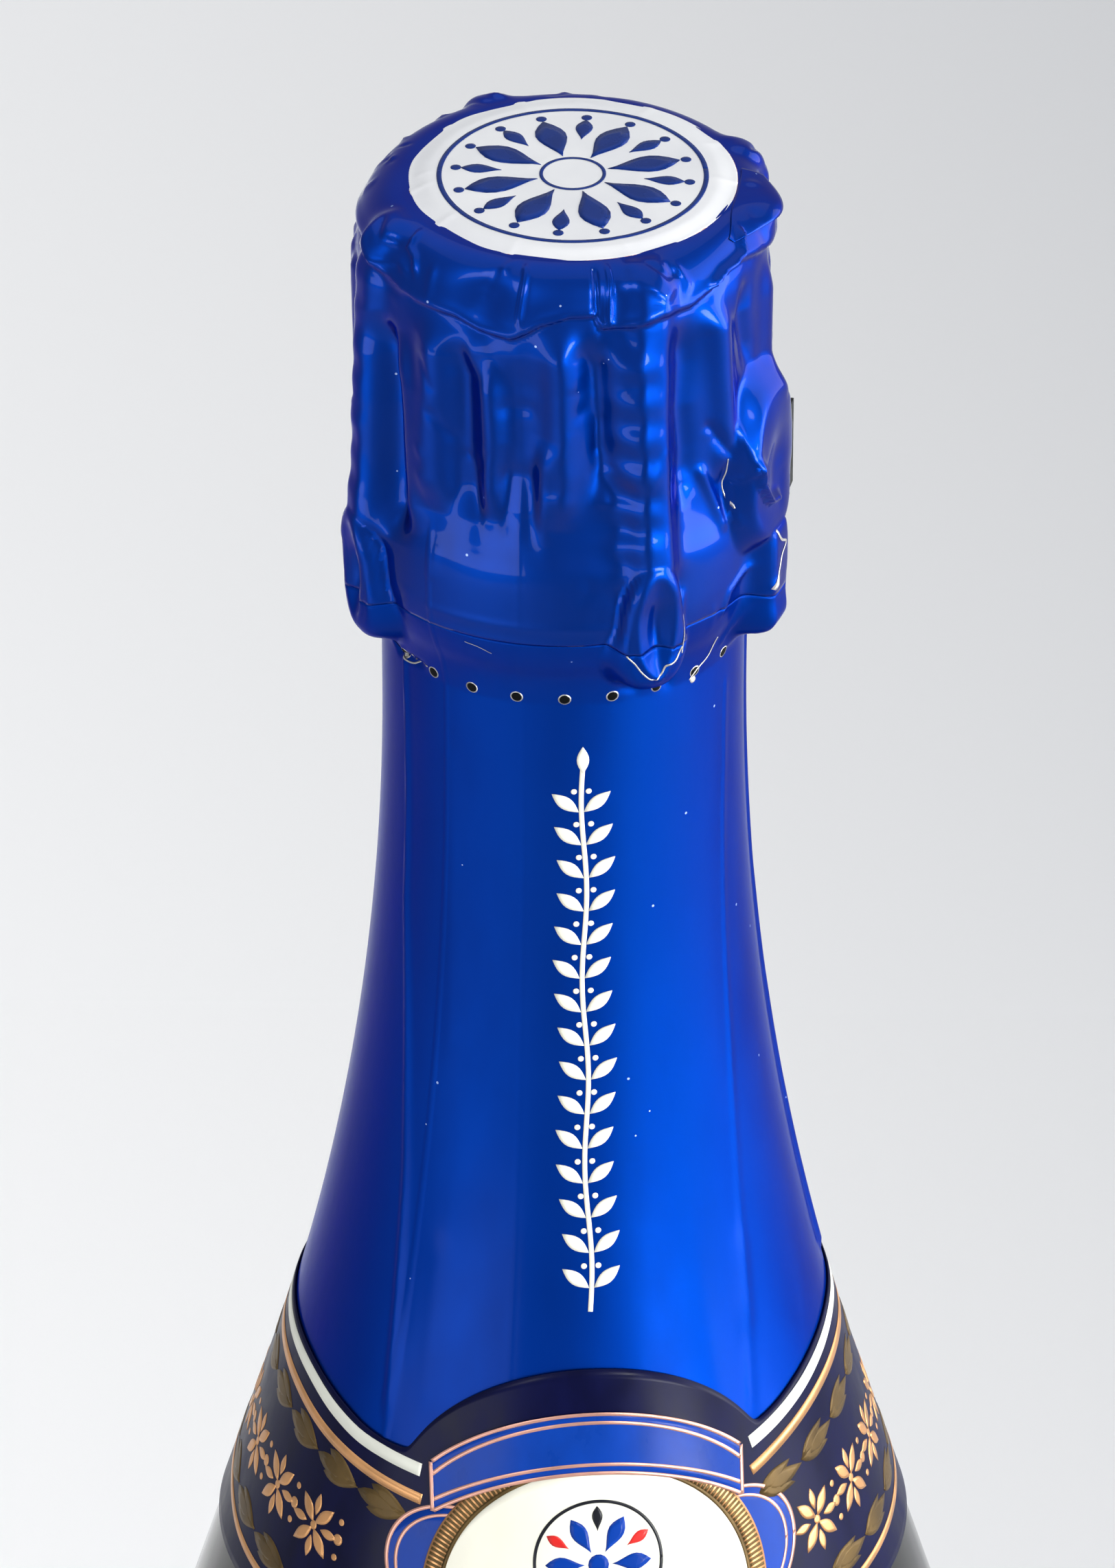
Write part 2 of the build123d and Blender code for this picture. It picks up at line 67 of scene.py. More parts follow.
def glass_radius(z):
    """Outside radius of the glass at a height above the heel, in millimetres."""
    cone_high = neck_base - flare_radius * math.sin(shoulder_slope)
    cone_high_r = neck_radius + flare_radius * (1 - math.cos(shoulder_slope))
    cone_low_r = body_radius - shoulder_radius * (1 - math.cos(shoulder_slope))
    cone_low = cone_high - (cone_low_r - cone_high_r) / math.tan(shoulder_slope)
    body_top = cone_low - shoulder_radius * math.sin(shoulder_slope)
    z = np.asarray(z, float)
    below_neck = np.clip(neck_base - z, 0, flare_radius * arc_share)
    above_body = np.clip(z - body_top, 0, shoulder_radius * arc_share)
    flare = neck_radius + flare_radius - np.sqrt(flare_radius**2 - below_neck**2)
    cone = cone_high_r + (cone_high - z) * math.tan(shoulder_slope)
    crown = body_radius - shoulder_radius + np.sqrt(shoulder_radius**2 - above_body**2)
    r = np.where(z > cone_high, flare, np.where(z > cone_low, cone, crown))
    return np.where(z < body_top, body_radius, r)


print("radius at the collar:", round(float(glass_radius(195.0)), 2), "mm")

# %% [markdown]
# Every piece is worked out in millimetres and becomes a mesh whose object stays at the origin, so that
# a pattern on Object coordinates keeps its place. Where several points fall on one place, as at the
# middle of a disc, they are welded, so that no open pole is left.

# %% Mesh helpers
weld_distance = 0.0005


def new_piece(name, verts, faces):
    """Smooth mesh object at the origin from points in millimetres."""
    mesh = bpy.data.meshes.new(name)
    mesh.from_pydata((np.asarray(verts, float) * MM).tolist(), [], [tuple(f) for f in faces])
    mesh.validate()
    mesh.polygons.foreach_set("use_smooth", [True] * len(mesh.polygons))
    piece = bpy.data.objects.new(name, mesh)
    bpy.context.scene.collection.objects.link(piece)
    return piece


def weld(piece):
    """Joins points that lie on each other, such as a pole's."""
    body = bmesh.new()
    body.from_mesh(piece.data)
    bmesh.ops.remove_doubles(body, verts=body.verts, dist=weld_distance * MM)
    body.to_mesh(piece.data)
    body.free()


def thicken(piece, wall, offset=1.0):
    """Gives a sheet its wall, outwards or, with an offset of 0, to both sides."""
    modifier = piece.modifiers.new("thickness", "SOLIDIFY")
    modifier.thickness = wall * MM
    modifier.offset = offset


print("pieces are made in millimetres and scaled by", MM)

# %% [markdown]
# A skin is a grid of points that runs round the bottle and along a profile. Its faces follow from the
# number of rows and columns alone, and a skin that goes all the way round closes its seam by sharing
# the first column. The front of the bottle is at azimuth 0, and azimuths rise to the right.

# %% Grids round the bottle


def ring_grid_faces(rows, columns, closed=True):
    """Quads of a grid that runs down the rows and round the columns, facing outwards."""
    row = np.arange(rows - 1)[:, None]
    last = columns if closed else columns - 1
    column = np.arange(last)[None, :]
    right = (column + 1) % columns
    a = row * columns + column
    b = row * columns + right
    return np.stack([a, a + columns, b + columns, b], -1).reshape(-1, 4)


def round_points(r, angle, z):
    """Points from a radius, an angle in radians from the front, and a height."""
    return np.stack([r * np.sin(angle), -r * np.cos(angle), z + 0 * r], -1)


print("a grid of 3 rows and 8 columns has", len(ring_grid_faces(3, 8)), "faces")

# %% [markdown]
# Profiles and relief are drawn as a few places and values. A smooth line runs through them with
# no overshoot to speak of, and an eased step blends one part of a shape into the next.

# %% Smooth lines


def smooth_curve(x, xs, ys):
    """Value at x of a smooth line through given points, rising in xs."""
    xs, ys = np.asarray(xs, float), np.asarray(ys, float)
    slopes = np.gradient(ys, xs)
    x = np.clip(np.asarray(x, float), xs[0], xs[-1])
    i = np.clip(np.searchsorted(xs, x) - 1, 0, len(xs) - 2)
    h = xs[i + 1] - xs[i]
    t = (x - xs[i]) / h
    return (
        ys[i] * (1 + 2 * t) * (1 - t) ** 2
        + slopes[i] * h * t * (1 - t) ** 2
        + ys[i + 1] * t**2 * (3 - 2 * t)
        + slopes[i + 1] * h * t**2 * (t - 1)
    )


def ease(x):
    """Smooth step from 0 to 1."""
    x = np.clip(x, 0, 1)
    return x * x * (3 - 2 * x)


print("half way up an eased step:", float(ease(0.5)))

# %% [markdown]
# The foil over the cork is one thin sheet of lacquered aluminium, pressed down by hand over a cork,
# a tin cap and four twisted wires. What is under it shows through: a ledge under the cap's rim,
# hanging flutes over the cork's waist, a string of beads over each twisted leg and an oval over the
# eye at each leg's foot. A heightfield on the unrolled foil holds all of that.
# First comes the smooth foil, as a radius and a height for each place along it. A place is counted as
# its height up to the shoulder, and from there on by the length of foil that lies over the edge.

# %% The smooth foil
foil_lift = 0.25
shoulder_start = 312.2
shoulder_out = 3.75
shoulder_up = 5.15
crown_radius = 13.6
crown_z = shoulder_start + shoulder_up
shoulder_length = math.pi / 2 * math.hypot(shoulder_out, shoulder_up) / math.sqrt(2)
crown_start = shoulder_start + shoulder_length
tear_line = 282.8
side_heights = (
    276.0, 277.2, 278.8, 280.5, 282.5, 284.5, 286.0, 289.5, 292.0, 294.5, 300.0, 304.0, 309.0, 312.2,
)
side_radii = (15.3, 15.5, 15.9, 16.6, 17.2, 17.45, 17.5, 17.4, 17.0, 16.75, 16.85, 16.95, 17.15, 17.35)
unrolled_radius = 17.2


def smooth_foil(along):
    """Radius and height of the foil with no creases, at a length along it counted as a height."""
    along = np.asarray(along, float)
    side = np.where(
        along < side_heights[0],
        glass_radius(along) + foil_lift,
        smooth_curve(along, side_heights, side_radii),
    )
    turn = np.clip((along - shoulder_start) / shoulder_length, 0, 1) * math.pi / 2
    crown = np.clip(crown_radius - (along - crown_start), 0, None)
    r = np.where(along > shoulder_start, crown_radius + shoulder_out * np.cos(turn), side)
    r = np.where(along > crown_start, crown, r)
    z = np.where(along > shoulder_start, shoulder_start + shoulder_up * np.sin(turn), along)
    return r, z


print("foil from the crown to the tear line:", round(crown_start - tear_line, 1), "mm")

# %% [markdown]
# A stroke adds one crease to the relief. A ridge is rounded, a crease comes to a sharp line and a
# fold is steep on one side only, as where the sheet laps over itself.
# Its path is a few places, each an azimuth in degrees and a height, and both ends fade out. Drawing
# with strokes keeps every fold where it belongs, which a noise texture could not.

# %% Strokes on the foil
far_away = 1e9
fold_back_share = 0.22
end_share = 0.15


def foil_distance(field, azimuth):
    """Distance round the foil from an azimuth, in millimetres, to its right."""
    return ((field["azimuth"] - azimuth + 180) % 360 - 180) * math.radians(1) * unrolled_radius


def unrolled_distance(azimuth, along, path):
    """Signed distance to a path on the unrolled foil, and how far along the path, in millimetres."""
    nearest = np.full(np.shape(along), far_away)
    signed = np.zeros(np.shape(along))
    progress = np.zeros(np.shape(along))
    walked = 0.0
    scale = math.radians(1) * unrolled_radius
    for (a0, h0), (a1, h1) in zip(path[:-1], path[1:]):
        du, dv = (a1 - a0) * scale, h1 - h0
        length = math.hypot(du, dv)
        u = ((azimuth - a0 + 180) % 360 - 180) * scale
        v = along - h0
        t = np.clip((u * du + v * dv) / length**2, 0, 1)
        d = np.hypot(u - t * du, v - t * dv)
        side = np.sign(du * v - dv * u)
        closer = d < nearest
        nearest = np.where(closer, d, nearest)
        signed = np.where(closer, d * side, signed)
        progress = np.where(closer, walked + t * length, progress)
        walked += length
    return signed, progress, walked


def stroke(field, path, width, height, kind="ridge", fade=1.5):
    """Adds one crease to the relief field."""
    signed, progress, length = unrolled_distance(field["azimuth"], field["along"], path)
    d = np.abs(signed)
    if kind == "ridge":
        shape = np.exp(-((d / width) ** 2))
    elif kind == "crease":
        shape = np.clip(1 - d / (2 * width), 0, 1) ** 2
    else:
        shape = np.exp(-((d / np.where(signed > 0, width, fold_back_share * width)) ** 2))
    ends = ease(progress / fade + end_share) * ease((length - progress) / fade + end_share)
    field["height"] += height * shape * ends


def bump(field, azimuth, along, half_width, half_length, height):
    """Adds a rounded oval swelling or, with a negative height, a dent."""
    u = foil_distance(field, azimuth)
    v = field["along"] - along
    field["height"] += height * np.exp(-((u / half_width) ** 2) - (v / half_length) ** 2)


def oval(field, azimuth, along, half_width, half_length, width, height):
    """Adds an oval ring, the print of a loop of wire."""
    u = foil_distance(field, azimuth)
    v = field["along"] - along
    reach = np.hypot(u / half_width, v / half_length)
    mean = math.sqrt(half_width * half_length)
    field["height"] += height * np.exp(-(((reach - 1) * mean / width) ** 2))


print("stroke kinds: ridge, crease, fold")

# %% [markdown]
# The wire cage prints through the foil. Each leg is two wires twisted together, so its ridge swells
# and narrows every half turn, with a string of low beads along its middle.

# %% Print of a leg
leg_azimuths = (18.5, 108.5, 198.5, -71.5)
bead_pitch = 3.45
bead_phase = 295.4
leg_foot = 287.0
leg_heights = (286.0, 291.0, 296.0, 300.0, 304.0, 308.0, 311.6, 314.2, 315.7, 316.9, 317.8, 319.0)
leg_rises = (1.5, 2.15, 2.15, 1.95, 1.7, 1.4, 1.1, 1.1, 1.08, 0.65, 0.3, 0.0)
leg_spare = 0.06
leg_left_half, leg_right_half, leg_swell = 1.75, 2.0, 0.14
bead_top, bead_rise = 311.5, 0.05
bead_shift, bead_half, bead_slant = 0.2, 0.9, 0.5
run_out = 3.0


def print_leg(field, azimuth):
    """Ridge over one twisted leg, from the cap's rim to the eye, with the twist showing through."""
    u = foil_distance(field, azimuth)
    h = field["along"]
    turn = 2 * math.pi * (h - bead_phase) / bead_pitch
    rise = smooth_curve(h, leg_heights, leg_rises)
    inside = ease((h - leg_foot) / run_out)
    flank = np.where(u < 0, leg_left_half + leg_swell * np.cos(turn), leg_right_half)
    field["height"] += (rise + leg_spare) * inside / (1 + (np.abs(u) / flank) ** 4)
    bead = np.cos(turn + bead_slant * u) * np.exp(-(((u + bead_shift) / bead_half) ** 2))
    field["height"] += bead_rise * bead * inside * ease((bead_top - h) / run_out)


print("legs at", leg_azimuths, "with a half turn every", bead_pitch, "mm")

# %% [markdown]
# At its foot each leg opens into an eye for the belt wire. Over the eye the foil is an oval swelling
# with a shallow hollow where the loop is open, and below it the foil runs out gently onto the neck.

# %% Print of an eye
eye_centre = 285.0
eye_half, eye_taper = 2.6, 0.1
eye_low_half, eye_high_half, eye_round = 5.35, 6.2, 2.4
eye_heights = (277.5, 279.0, 280.2, 282.0, 286.0, 288.0, 291.0)
eye_rises = (3.0, 3.1, 2.65, 2.05, 1.7, 1.95, 2.1)
eye_edge, eye_edge_width = 1.17, 0.36
eye_foot_edge, eye_foot_width, eye_foot_length = 0.38, 0.36, 4.0


def print_eye(field, azimuth):
    """Swelling over the eye at a leg's foot, with a hollow where the loop is open."""
    u = foil_distance(field, azimuth)
    v = field["along"] - eye_centre
    wide = eye_half - eye_taper * np.clip(v, -6, 8)
    tall = np.where(v < 0, eye_low_half, eye_high_half)
    reach = ((np.abs(u) / wide) ** eye_round + (np.abs(v) / tall) ** eye_round) ** (1 / eye_round)
    over_wire = smooth_curve(field["along"], eye_heights, eye_rises)
    low = ease(-v / eye_foot_length)
    field["height"] += over_wire * ease(
        (eye_edge + eye_foot_edge * low - reach) / (eye_edge_width + eye_foot_width * low)
    )
    oval(field, azimuth, eye_centre + 0.2, 1.55, 4.3, 0.45, 0.22)
    bump(field, azimuth + 0.4, eye_centre - 0.4, 0.75, 2.9, -0.8)


print("eyes at a height of", eye_centre, "mm")

# %% [markdown]
# The belt wire's key is folded up against the neck between two legs and makes the widest swelling of
# all: a loop above, and its twisted stem below.

# %% Print of the key
key_azimuth = 63.5
loop_centre = 294.0
loop_half, loop_high_half, loop_low_half, loop_round = 4.0, 7.2, 6.0, 2.5
loop_heights = (286.0, 290.0, 294.0, 299.0, 302.0)
loop_rises = (1.8, 1.95, 2.5, 2.4, 1.8)
loop_edge, loop_edge_width = 1.4, 0.46
stem_heights = (276.6, 278.0, 279.3, 280.2, 282.5, 288.0, 291.0)
stem_rises = (0.0, 0.8, 2.3, 2.95, 2.35, 2.05, 1.6)
stem_half, stem_flank, stem_top = 1.1, 1.1, 291.0


def print_key(field):
    """Swelling over the folded key: its loop above and its twisted stem below."""
    u = foil_distance(field, key_azimuth)
    v = field["along"] - loop_centre
    tall = np.where(v > 0, loop_high_half, loop_low_half)
    reach = ((np.abs(u) / loop_half) ** loop_round + (np.abs(v) / tall) ** loop_round) ** (1 / loop_round)
    loop = smooth_curve(field["along"], loop_heights, loop_rises)
    stem = smooth_curve(field["along"], stem_heights, stem_rises)
    flank = np.clip(np.abs(u) - stem_half, 0, None) / stem_flank
    over_loop = loop * ease((loop_edge - reach) / loop_edge_width)
    over_stem = stem * np.exp(-(flank**2)) * ease((stem_top - field["along"]) / run_out)
    field["height"] += np.maximum(over_loop, over_stem)
    bump(field, key_azimuth, loop_centre, 1.8, 3.4, -0.7)


def print_cage(field):
    """All that the wires press into the foil, with the higher of a leg and its eye at each place."""
    for azimuth in leg_azimuths:
        below, field["height"] = field["height"], np.zeros(field["height"].shape)
        print_leg(field, azimuth)
        leg, field["height"] = field["height"], np.zeros(field["height"].shape)
        print_eye(field, azimuth)
        field["height"] = below + np.maximum(leg, field["height"])
    print_key(field)


print("key at", key_azimuth, "degrees to the right of the front")

# %% [markdown]
# Under the cap's rim the foil is tucked in, so a crumpled ledge runs all round. Its height rises and
# falls with the hand that pressed it: the front follows the bottle, and the back is made in the same
# manner.

# %% Ledge under the cap
ledge_places = (
    (-180, 313.0), (-150, 313.7), (-122, 312.6), (-98, 313.6), (-73, 314.3), (-59, 313.4), (-50, 312.8),
    (-37, 312.7), (-29, 311.9), (-20, 311.5), (-17, 312.0), (-12, 313.0), (-4, 313.8), (3, 313.8), (5, 312.7),
    (12, 312.8), (21, 313.3), (31, 313.0), (37, 313.6), (45, 314.4), (54, 314.5), (66, 313.6), (88, 312.6),
    (112, 313.8), (140, 312.8), (163, 313.6), (180, 313.0),
)
lip_height, lip_above, lip_width = 0.12, 0.35, 0.45
tuck_depth, tuck_edge, tuck_reach = 0.5, 0.35, 2.6


def tuck_ledge(field):
    """Lip above the ledge and tuck below it."""
    azimuths, heights = zip(*ledge_places)
    below = np.interp(field["azimuth"], azimuths, heights) - field["along"]
    under = ease(below / tuck_edge) * np.exp(-np.clip(below, 0, None) / tuck_reach)
    lip = np.exp(-(((below + lip_above) / lip_width) ** 2))
    field["height"] += lip_height * lip - tuck_depth * under


print("ledge drawn through", len(ledge_places), "places")

# %% [markdown]
# Below the ledge the spare foil hangs in flutes that die out above the glass ring. Each is one stroke
# with a width and a height, and where the height is negative it is a hollow between two flutes. A row
# of short teeth marks where the flutes were pressed flat.

# %% Flutes
flute_strength = 1.25
flute_fade = 4.0
flutes = (
    # path, width, height
    ([(-39, 311.7), (-43, 309.3), (-45, 301.0), (-45, 293.5)], 1.8, 0.84),
    ([(-37, 310.8), (-34, 307.0), (-34, 301.0), (-32, 293.5)], 1.32, -0.59),
    ([(-31, 311.4), (-32, 307.0)], 0.96, 0.42),
    ([(-27, 309.3), (-25.5, 301.5), (-27.5, 294.0)], 1.2, 0.63),
    ([(-18, 309.8), (-17, 302.0), (-18, 295.0)], 2.64, -0.38),
    ([(-10, 302.5), (-11, 297.5), (-10, 292.0)], 0.96, 0.46),
    ([(-6.5, 313.0), (-6, 302.5), (-6, 299.0), (-7, 293.5)], 1.44, 0.8),
    ([(-1, 311.5), (3.5, 308.7), (5.5, 302.3), (7, 296.0)], 1.2, -0.71),
    ([(11, 312.1), (10.5, 306.0), (11, 296.5)], 1.44, 0.5),
    ([(27.5, 311.9), (29, 307.6), (28, 303.5), (30, 299.5), (30, 294.5)], 1.44, -0.59),
    ([(37, 312.8), (42, 310.0), (44, 304.4), (46, 299.5), (46, 294.8)], 1.44, 0.84),
    ([(-67, 309.8), (-62.5, 306.0), (-60.5, 301.2), (-60, 296.4), (-58, 289.0)], 1.44, -1.01),
    ([(-58, 308.9), (-54, 304.5), (-54, 296.5), (-52, 290.5)], 1.56, 0.63),
    ([(56, 313.0), (54, 309.3), (60, 303.0)], 0.96, -0.5),
    ([(70, 312.4), (72, 306.0), (74, 299.5)], 1.56, 0.59),
    ([(79, 312.0), (80, 304.0), (80, 296.0)], 1.2, -0.5),
)
teeth = ((-37.5, 298.0), (-30.5, 296.5), (-21.5, 297.5), (-14.0, 296.5), (-8.5, 297.0))
tooth_up, tooth_down = 4.0, 5.0
tooth_width, tooth_depth, tooth_fade = 0.75, 0.3, 4.5


def hang_flutes(field):
    """All flutes on the seen side, and the teeth at their feet."""
    for path, width, height in flutes:
        stroke(field, path, width, flute_strength * height, fade=flute_fade)
    for a, foot in teeth:
        path = [(a, foot + tooth_up), (a, foot - tooth_down)]
        stroke(field, path, tooth_width, -tooth_depth, fade=tooth_fade)


print(len(flutes), "flutes and", len(teeth), "teeth on the seen side")

# %% [markdown]
# Fingers left sharper marks: creases where the sheet was pinched, folds where it laps over itself, and
# a few dents and swellings. Their places are read off the bottle one by one, from the crown down to the
# neck, because it is these that make the hood look pressed by hand.

# %% Hand creases
hand_creases = (
    # path, width, height, kind
    ([(-76, 315.7), (-71, 314.5), (-62, 313.2), (-52, 312.7)], 0.4, 0.28, "crease"),
    ([(-61, 318.4), (-59, 316.2), (-55, 315.7), (-51, 314.2)], 0.35, 0.3, "fold"),
    ([(-76, 317.0), (-68, 315.5), (-60, 316.2)], 0.4, -0.3, "crease"),
    ([(-69, 313.8), (-59, 314.9), (-53, 314.2)], 0.45, 0.25, "crease"),
    ([(-19, 318.8), (-18, 315.3), (-18, 312.4)], 0.35, 0.32, "fold"),
    ([(3.4, 318.9), (3.4, 313.0)], 0.3, -0.4, "crease"),
    ([(7, 318.9), (6.4, 312.6)], 0.3, 0.42, "fold"),
    ([(16, 315.7), (22, 314.5), (27, 315.2)], 0.4, 0.26, "crease"),
    ([(19, 317.8), (24, 315.9), (30, 316.1)], 0.35, -0.26, "crease"),
    ([(28, 317.3), (31, 314.9), (29, 313.7)], 0.35, 0.22, "crease"),
    ([(37, 313.4), (44, 314.3), (54, 314.7), (59, 316.8)], 0.5, 0.6, "fold"),
    ([(-25, 304.7), (-12, 304.9)], 0.8, -0.14, "ridge"),
    ([(-24, 298.5), (-13, 298.5)], 0.8, -0.14, "ridge"),
    ([(-4, 304.9), (3, 304.8)], 0.8, -0.12, "ridge"),
    ([(-36, 300.0), (-33, 298.7)], 0.35, -0.2, "crease"),
    ([(48, 300.6), (49, 295.5), (46.5, 294.5), (47, 291.5), (49, 289.6)], 0.3, 0.35, "fold"),
    ([(50, 297.2), (52, 293.9), (57, 291.4), (66, 290.4)], 0.65, 0.75, "fold"),
    ([(38, 301.5), (44, 298.5), (47, 297.0)], 0.5, -0.35, "crease"),
    ([(36, 297.5), (41, 294.0), (46, 290.0)], 0.5, 0.3, "ridge"),
    ([(57, 286.0), (47, 284.2), (44, 281.6)], 0.35, 0.22, "crease"),
    ([(62, 284.6), (55, 282.0), (51, 277.5)], 0.35, 0.28, "crease"),
    ([(28.5, 287.0), (28.5, 284.3), (26.5, 281.6)], 0.3, 0.25, "fold"),
    ([(12.5, 282.9), (16, 281.3), (19.5, 280.4), (22, 281.4), (27, 282.2)], 0.3, 0.22, "fold"),
    ([(30, 279.0), (27, 277.2), (31, 276.0)], 0.6, -0.3, "ridge"),
    ([(10, 279.6), (14, 277.6), (20, 276.9)], 0.7, -0.35, "ridge"),
    ([(-83, 280.6), (-76, 277.6), (-69, 276.3), (-53, 276.8)], 0.35, -0.5, "crease"),
    (
        [(-66, 277.5), (-65, 271.0), (-63.2, 253.0), (-51.6, 228.0), (-48.4, 216.0), (-46, 206.0)],
        0.6, 0.22, "fold",
    ),
    ([(-44, 270.0), (-43, 262.0), (-40, 240.0)], 0.9, 0.05, "ridge"),
    ([(-38, 224.0), (-36, 208.0)], 0.8, 0.06, "ridge"),
    ([(57, 274.0), (56.4, 266.0), (50.2, 240.0), (41.5, 215.0), (36.7, 205.0)], 0.6, 0.12, "fold"),
    ([(44, 222.0), (41.0, 213.0)], 0.9, 0.1, "ridge"),
    ([(91, 275.0), (92, 250.0), (90, 225.0), (88, 210.0)], 1.6, 0.38, "fold"),
    ([(-49, 282.6), (-37, 282.9), (-16, 282.9), (5, 282.8)], 0.3, 0.05, "fold"),
    ([(-48, 284.4), (-30, 284.5), (-8, 284.5), (9, 284.3)], 0.4, 0.06, "ridge"),
)
dents = (
    # azimuth, place along the foil, half width, half length, height
    (-29, 314.2, 2.5, 2.1, -0.75),
    (76, 314.9, 3.6, 1.6, 0.8),
    (-62, 303.0, 2.2, 6.0, -0.3),
)
print(len(hand_creases), "creases and", len(dents), "dents on the seen side")

# %% [markdown]
# The back of the hood was pressed by the same hand, so it gets flutes and creases of the same sizes
# at places drawn with a fixed seed. No flute is drawn over a leg, where the foil is tight.

# %% Back of the hood
seen_from = -78
seen_to = 82
back_seed = 11
back_flute_top, back_flute_foot = 312.2, 293.5
back_flute_heights = (-0.5, -0.35, 0.4, 0.55)
leg_clearance = 8
back_crease_count = 26
back_crease_low, back_crease_high = 313.6, 318.2


def wrinkle_back(field):
    """Seeded flutes and creases round the unseen side."""
    rng = np.random.default_rng(back_seed)
    azimuth = seen_to + 8
    while azimuth < 360 + seen_from - 6:
        top = back_flute_top + rng.uniform(-0.8, 0.8)
        foot = back_flute_foot + rng.uniform(-1.5, 4.0)
        bend = rng.uniform(-3, 3)
        path = [(azimuth, top), (azimuth + bend, (top + foot) / 2), (azimuth + bend * 0.6, foot)]
        if min(abs((azimuth - leg + 180) % 360 - 180) for leg in leg_azimuths) > leg_clearance:
            stroke(field, path, rng.uniform(0.7, 1.25), rng.choice(back_flute_heights))
        azimuth += rng.uniform(6, 12)
    for _ in range(back_crease_count):
        a = rng.uniform(seen_to + 4, 360 + seen_from - 4)
        h = rng.uniform(back_crease_low, back_crease_high)
        turn, length = rng.uniform(0, 2 * math.pi), rng.uniform(4, 9)
        path = [(a, h), (a + length * math.cos(turn), h + 0.3 * length * math.sin(turn))]
        stroke(field, path, rng.uniform(0.3, 0.5), rng.uniform(-0.35, 0.35), "crease")


print("back drawn from azimuth", seen_to, "to", 360 + seen_from)

# %% [markdown]
# A fine net of short creases everywhere is the crumple of thin metal. It is strong on the hood's side
# and crown, and faint where the foil is stretched tight over the glass ring. Each crease only touches
# the places near it, which keeps a hundred of them quick.

# %% Fine crumple
crumples = (
    # count, low, high, seed, strength
    (90, 291.0, 318.5, 3, 0.16),
    (30, 277.0, 291.0, 5, 0.06),
)
degrees_per_mm = 3.3


def crumple(field, count, low, high, seed, strength):
    """Short shallow creases in every direction."""
    rng = np.random.default_rng(seed)
    for _ in range(count):
        a, h = rng.uniform(-180, 180), rng.uniform(low, high)
        turn, length = rng.uniform(-0.6, 0.6) + math.pi / 2, rng.uniform(1.5, 4.5)
        path = [(a, h), (a + degrees_per_mm * length * math.cos(turn), h + length * math.sin(turn))]
        near = np.abs(field["along"] - h) < length + 2
        part = {key: value[near] for key, value in field.items()}
        stroke(part, path, rng.uniform(0.35, 0.8), rng.uniform(-1, 1) * strength, "ridge", fade=1.0)
        field["height"][near] = part["height"]


print("fine creases:", sum(row[0] for row in crumples))

# %% [markdown]
# The prints, flutes, creases and dents add up to one relief, and one function gives the foil's outer
# surface for any grid of places. The crown of the hood sits a little to one side and tilts, because the
# foil was pulled that way.

# %% The creased foil
crown_shift = 0.3
crown_tilt = 0.02
pull_start, pull_length = 311.5, 6
smooth_crown_gap, smooth_crown_fade = 0.2, 1.5
normal_step = 0.05


def foil_relief(azimuth, along):
    """Height of the relief over the smooth foil, which fades out before the flat crown."""
    field = {"azimuth": azimuth, "along": along, "height": np.zeros(azimuth.shape)}
    print_cage(field)
    tuck_ledge(field)
    hang_flutes(field)
    for path, width, height, kind in hand_creases:
        stroke(field, path, width, height, kind)
    wrinkle_back(field)
    for dent in dents:
        bump(field, *dent)
    for row in crumples:
        crumple(field, *row)
    return field["height"] * ease((crown_start - smooth_crown_gap - along) / smooth_crown_fade)


def foil_points(azimuth, along, lift=0.0):
    """Points of the creased foil, raised by a lift, one for all or one for each point, along its normal."""
    height = foil_relief(azimuth, along) + lift
    r, z = smooth_foil(along)
    r_up, z_up = smooth_foil(along + normal_step)
    r_down, z_down = smooth_foil(along - normal_step)
    slope = np.hypot(r_up - r_down, z_up - z_down)
    normal_r, normal_z = (z_up - z_down) / slope, -(r_up - r_down) / slope
    r = np.clip(r + height * normal_r, 0, None)
    points = round_points(r, np.radians(azimuth), z + height * normal_z)
    crown = ease((along - pull_start) / pull_length)
    points[..., 0] += crown_shift * crown
    points[..., 2] += crown_tilt * crown * points[..., 1]
    return points


print("crown shifted by", crown_shift, "mm")

# %% [markdown]
# A round hole in a skin is made in the grid itself: the faces inside it are left out, and the corners
# round them are drawn onto its rim. A boolean would do it too, but it would cut across the relief.

# %% Holes in a skin


def punch(azimuth, along, points, faces, holes):
    """Leaves out the faces inside each hole and draws their corners onto its rim."""
    keep = np.ones(len(faces), bool)
    corners = np.array(faces)
    flat_azimuth, flat_along = azimuth.ravel(), along.ravel()
    flat = points.reshape(-1, 3).copy()
    for hole_azimuth, hole_along, hole_radius in holes:
        u = ((flat_azimuth - hole_azimuth + 180) % 360 - 180) * math.radians(1) * neck_radius
        v = flat_along - hole_along
        reach = np.hypot(u, v)
        inside = reach < hole_radius
        gone = inside[corners].any(axis=1) & keep
        keep &= ~gone
        rim = np.setdiff1d(np.unique(corners[gone]), np.nonzero(inside)[0])
        pull = hole_radius / np.clip(reach[rim], hole_radius, None)
        rim_azimuth = hole_azimuth + u[rim] * pull / (math.radians(1) * neck_radius)
        flat[rim] = foil_points(rim_azimuth, hole_along + v[rim] * pull)
    return keep, flat.reshape(points.shape)


print("holes are measured in millimetres round a neck of radius", neck_radius)

# %% [markdown]
# A shell is the outer skin and an inner skin of half the density, joined by a strip round each open
# end. The inner skin is coarser because only its edge is ever seen.

# %% Shell of two skins
pole_margin = 0.01


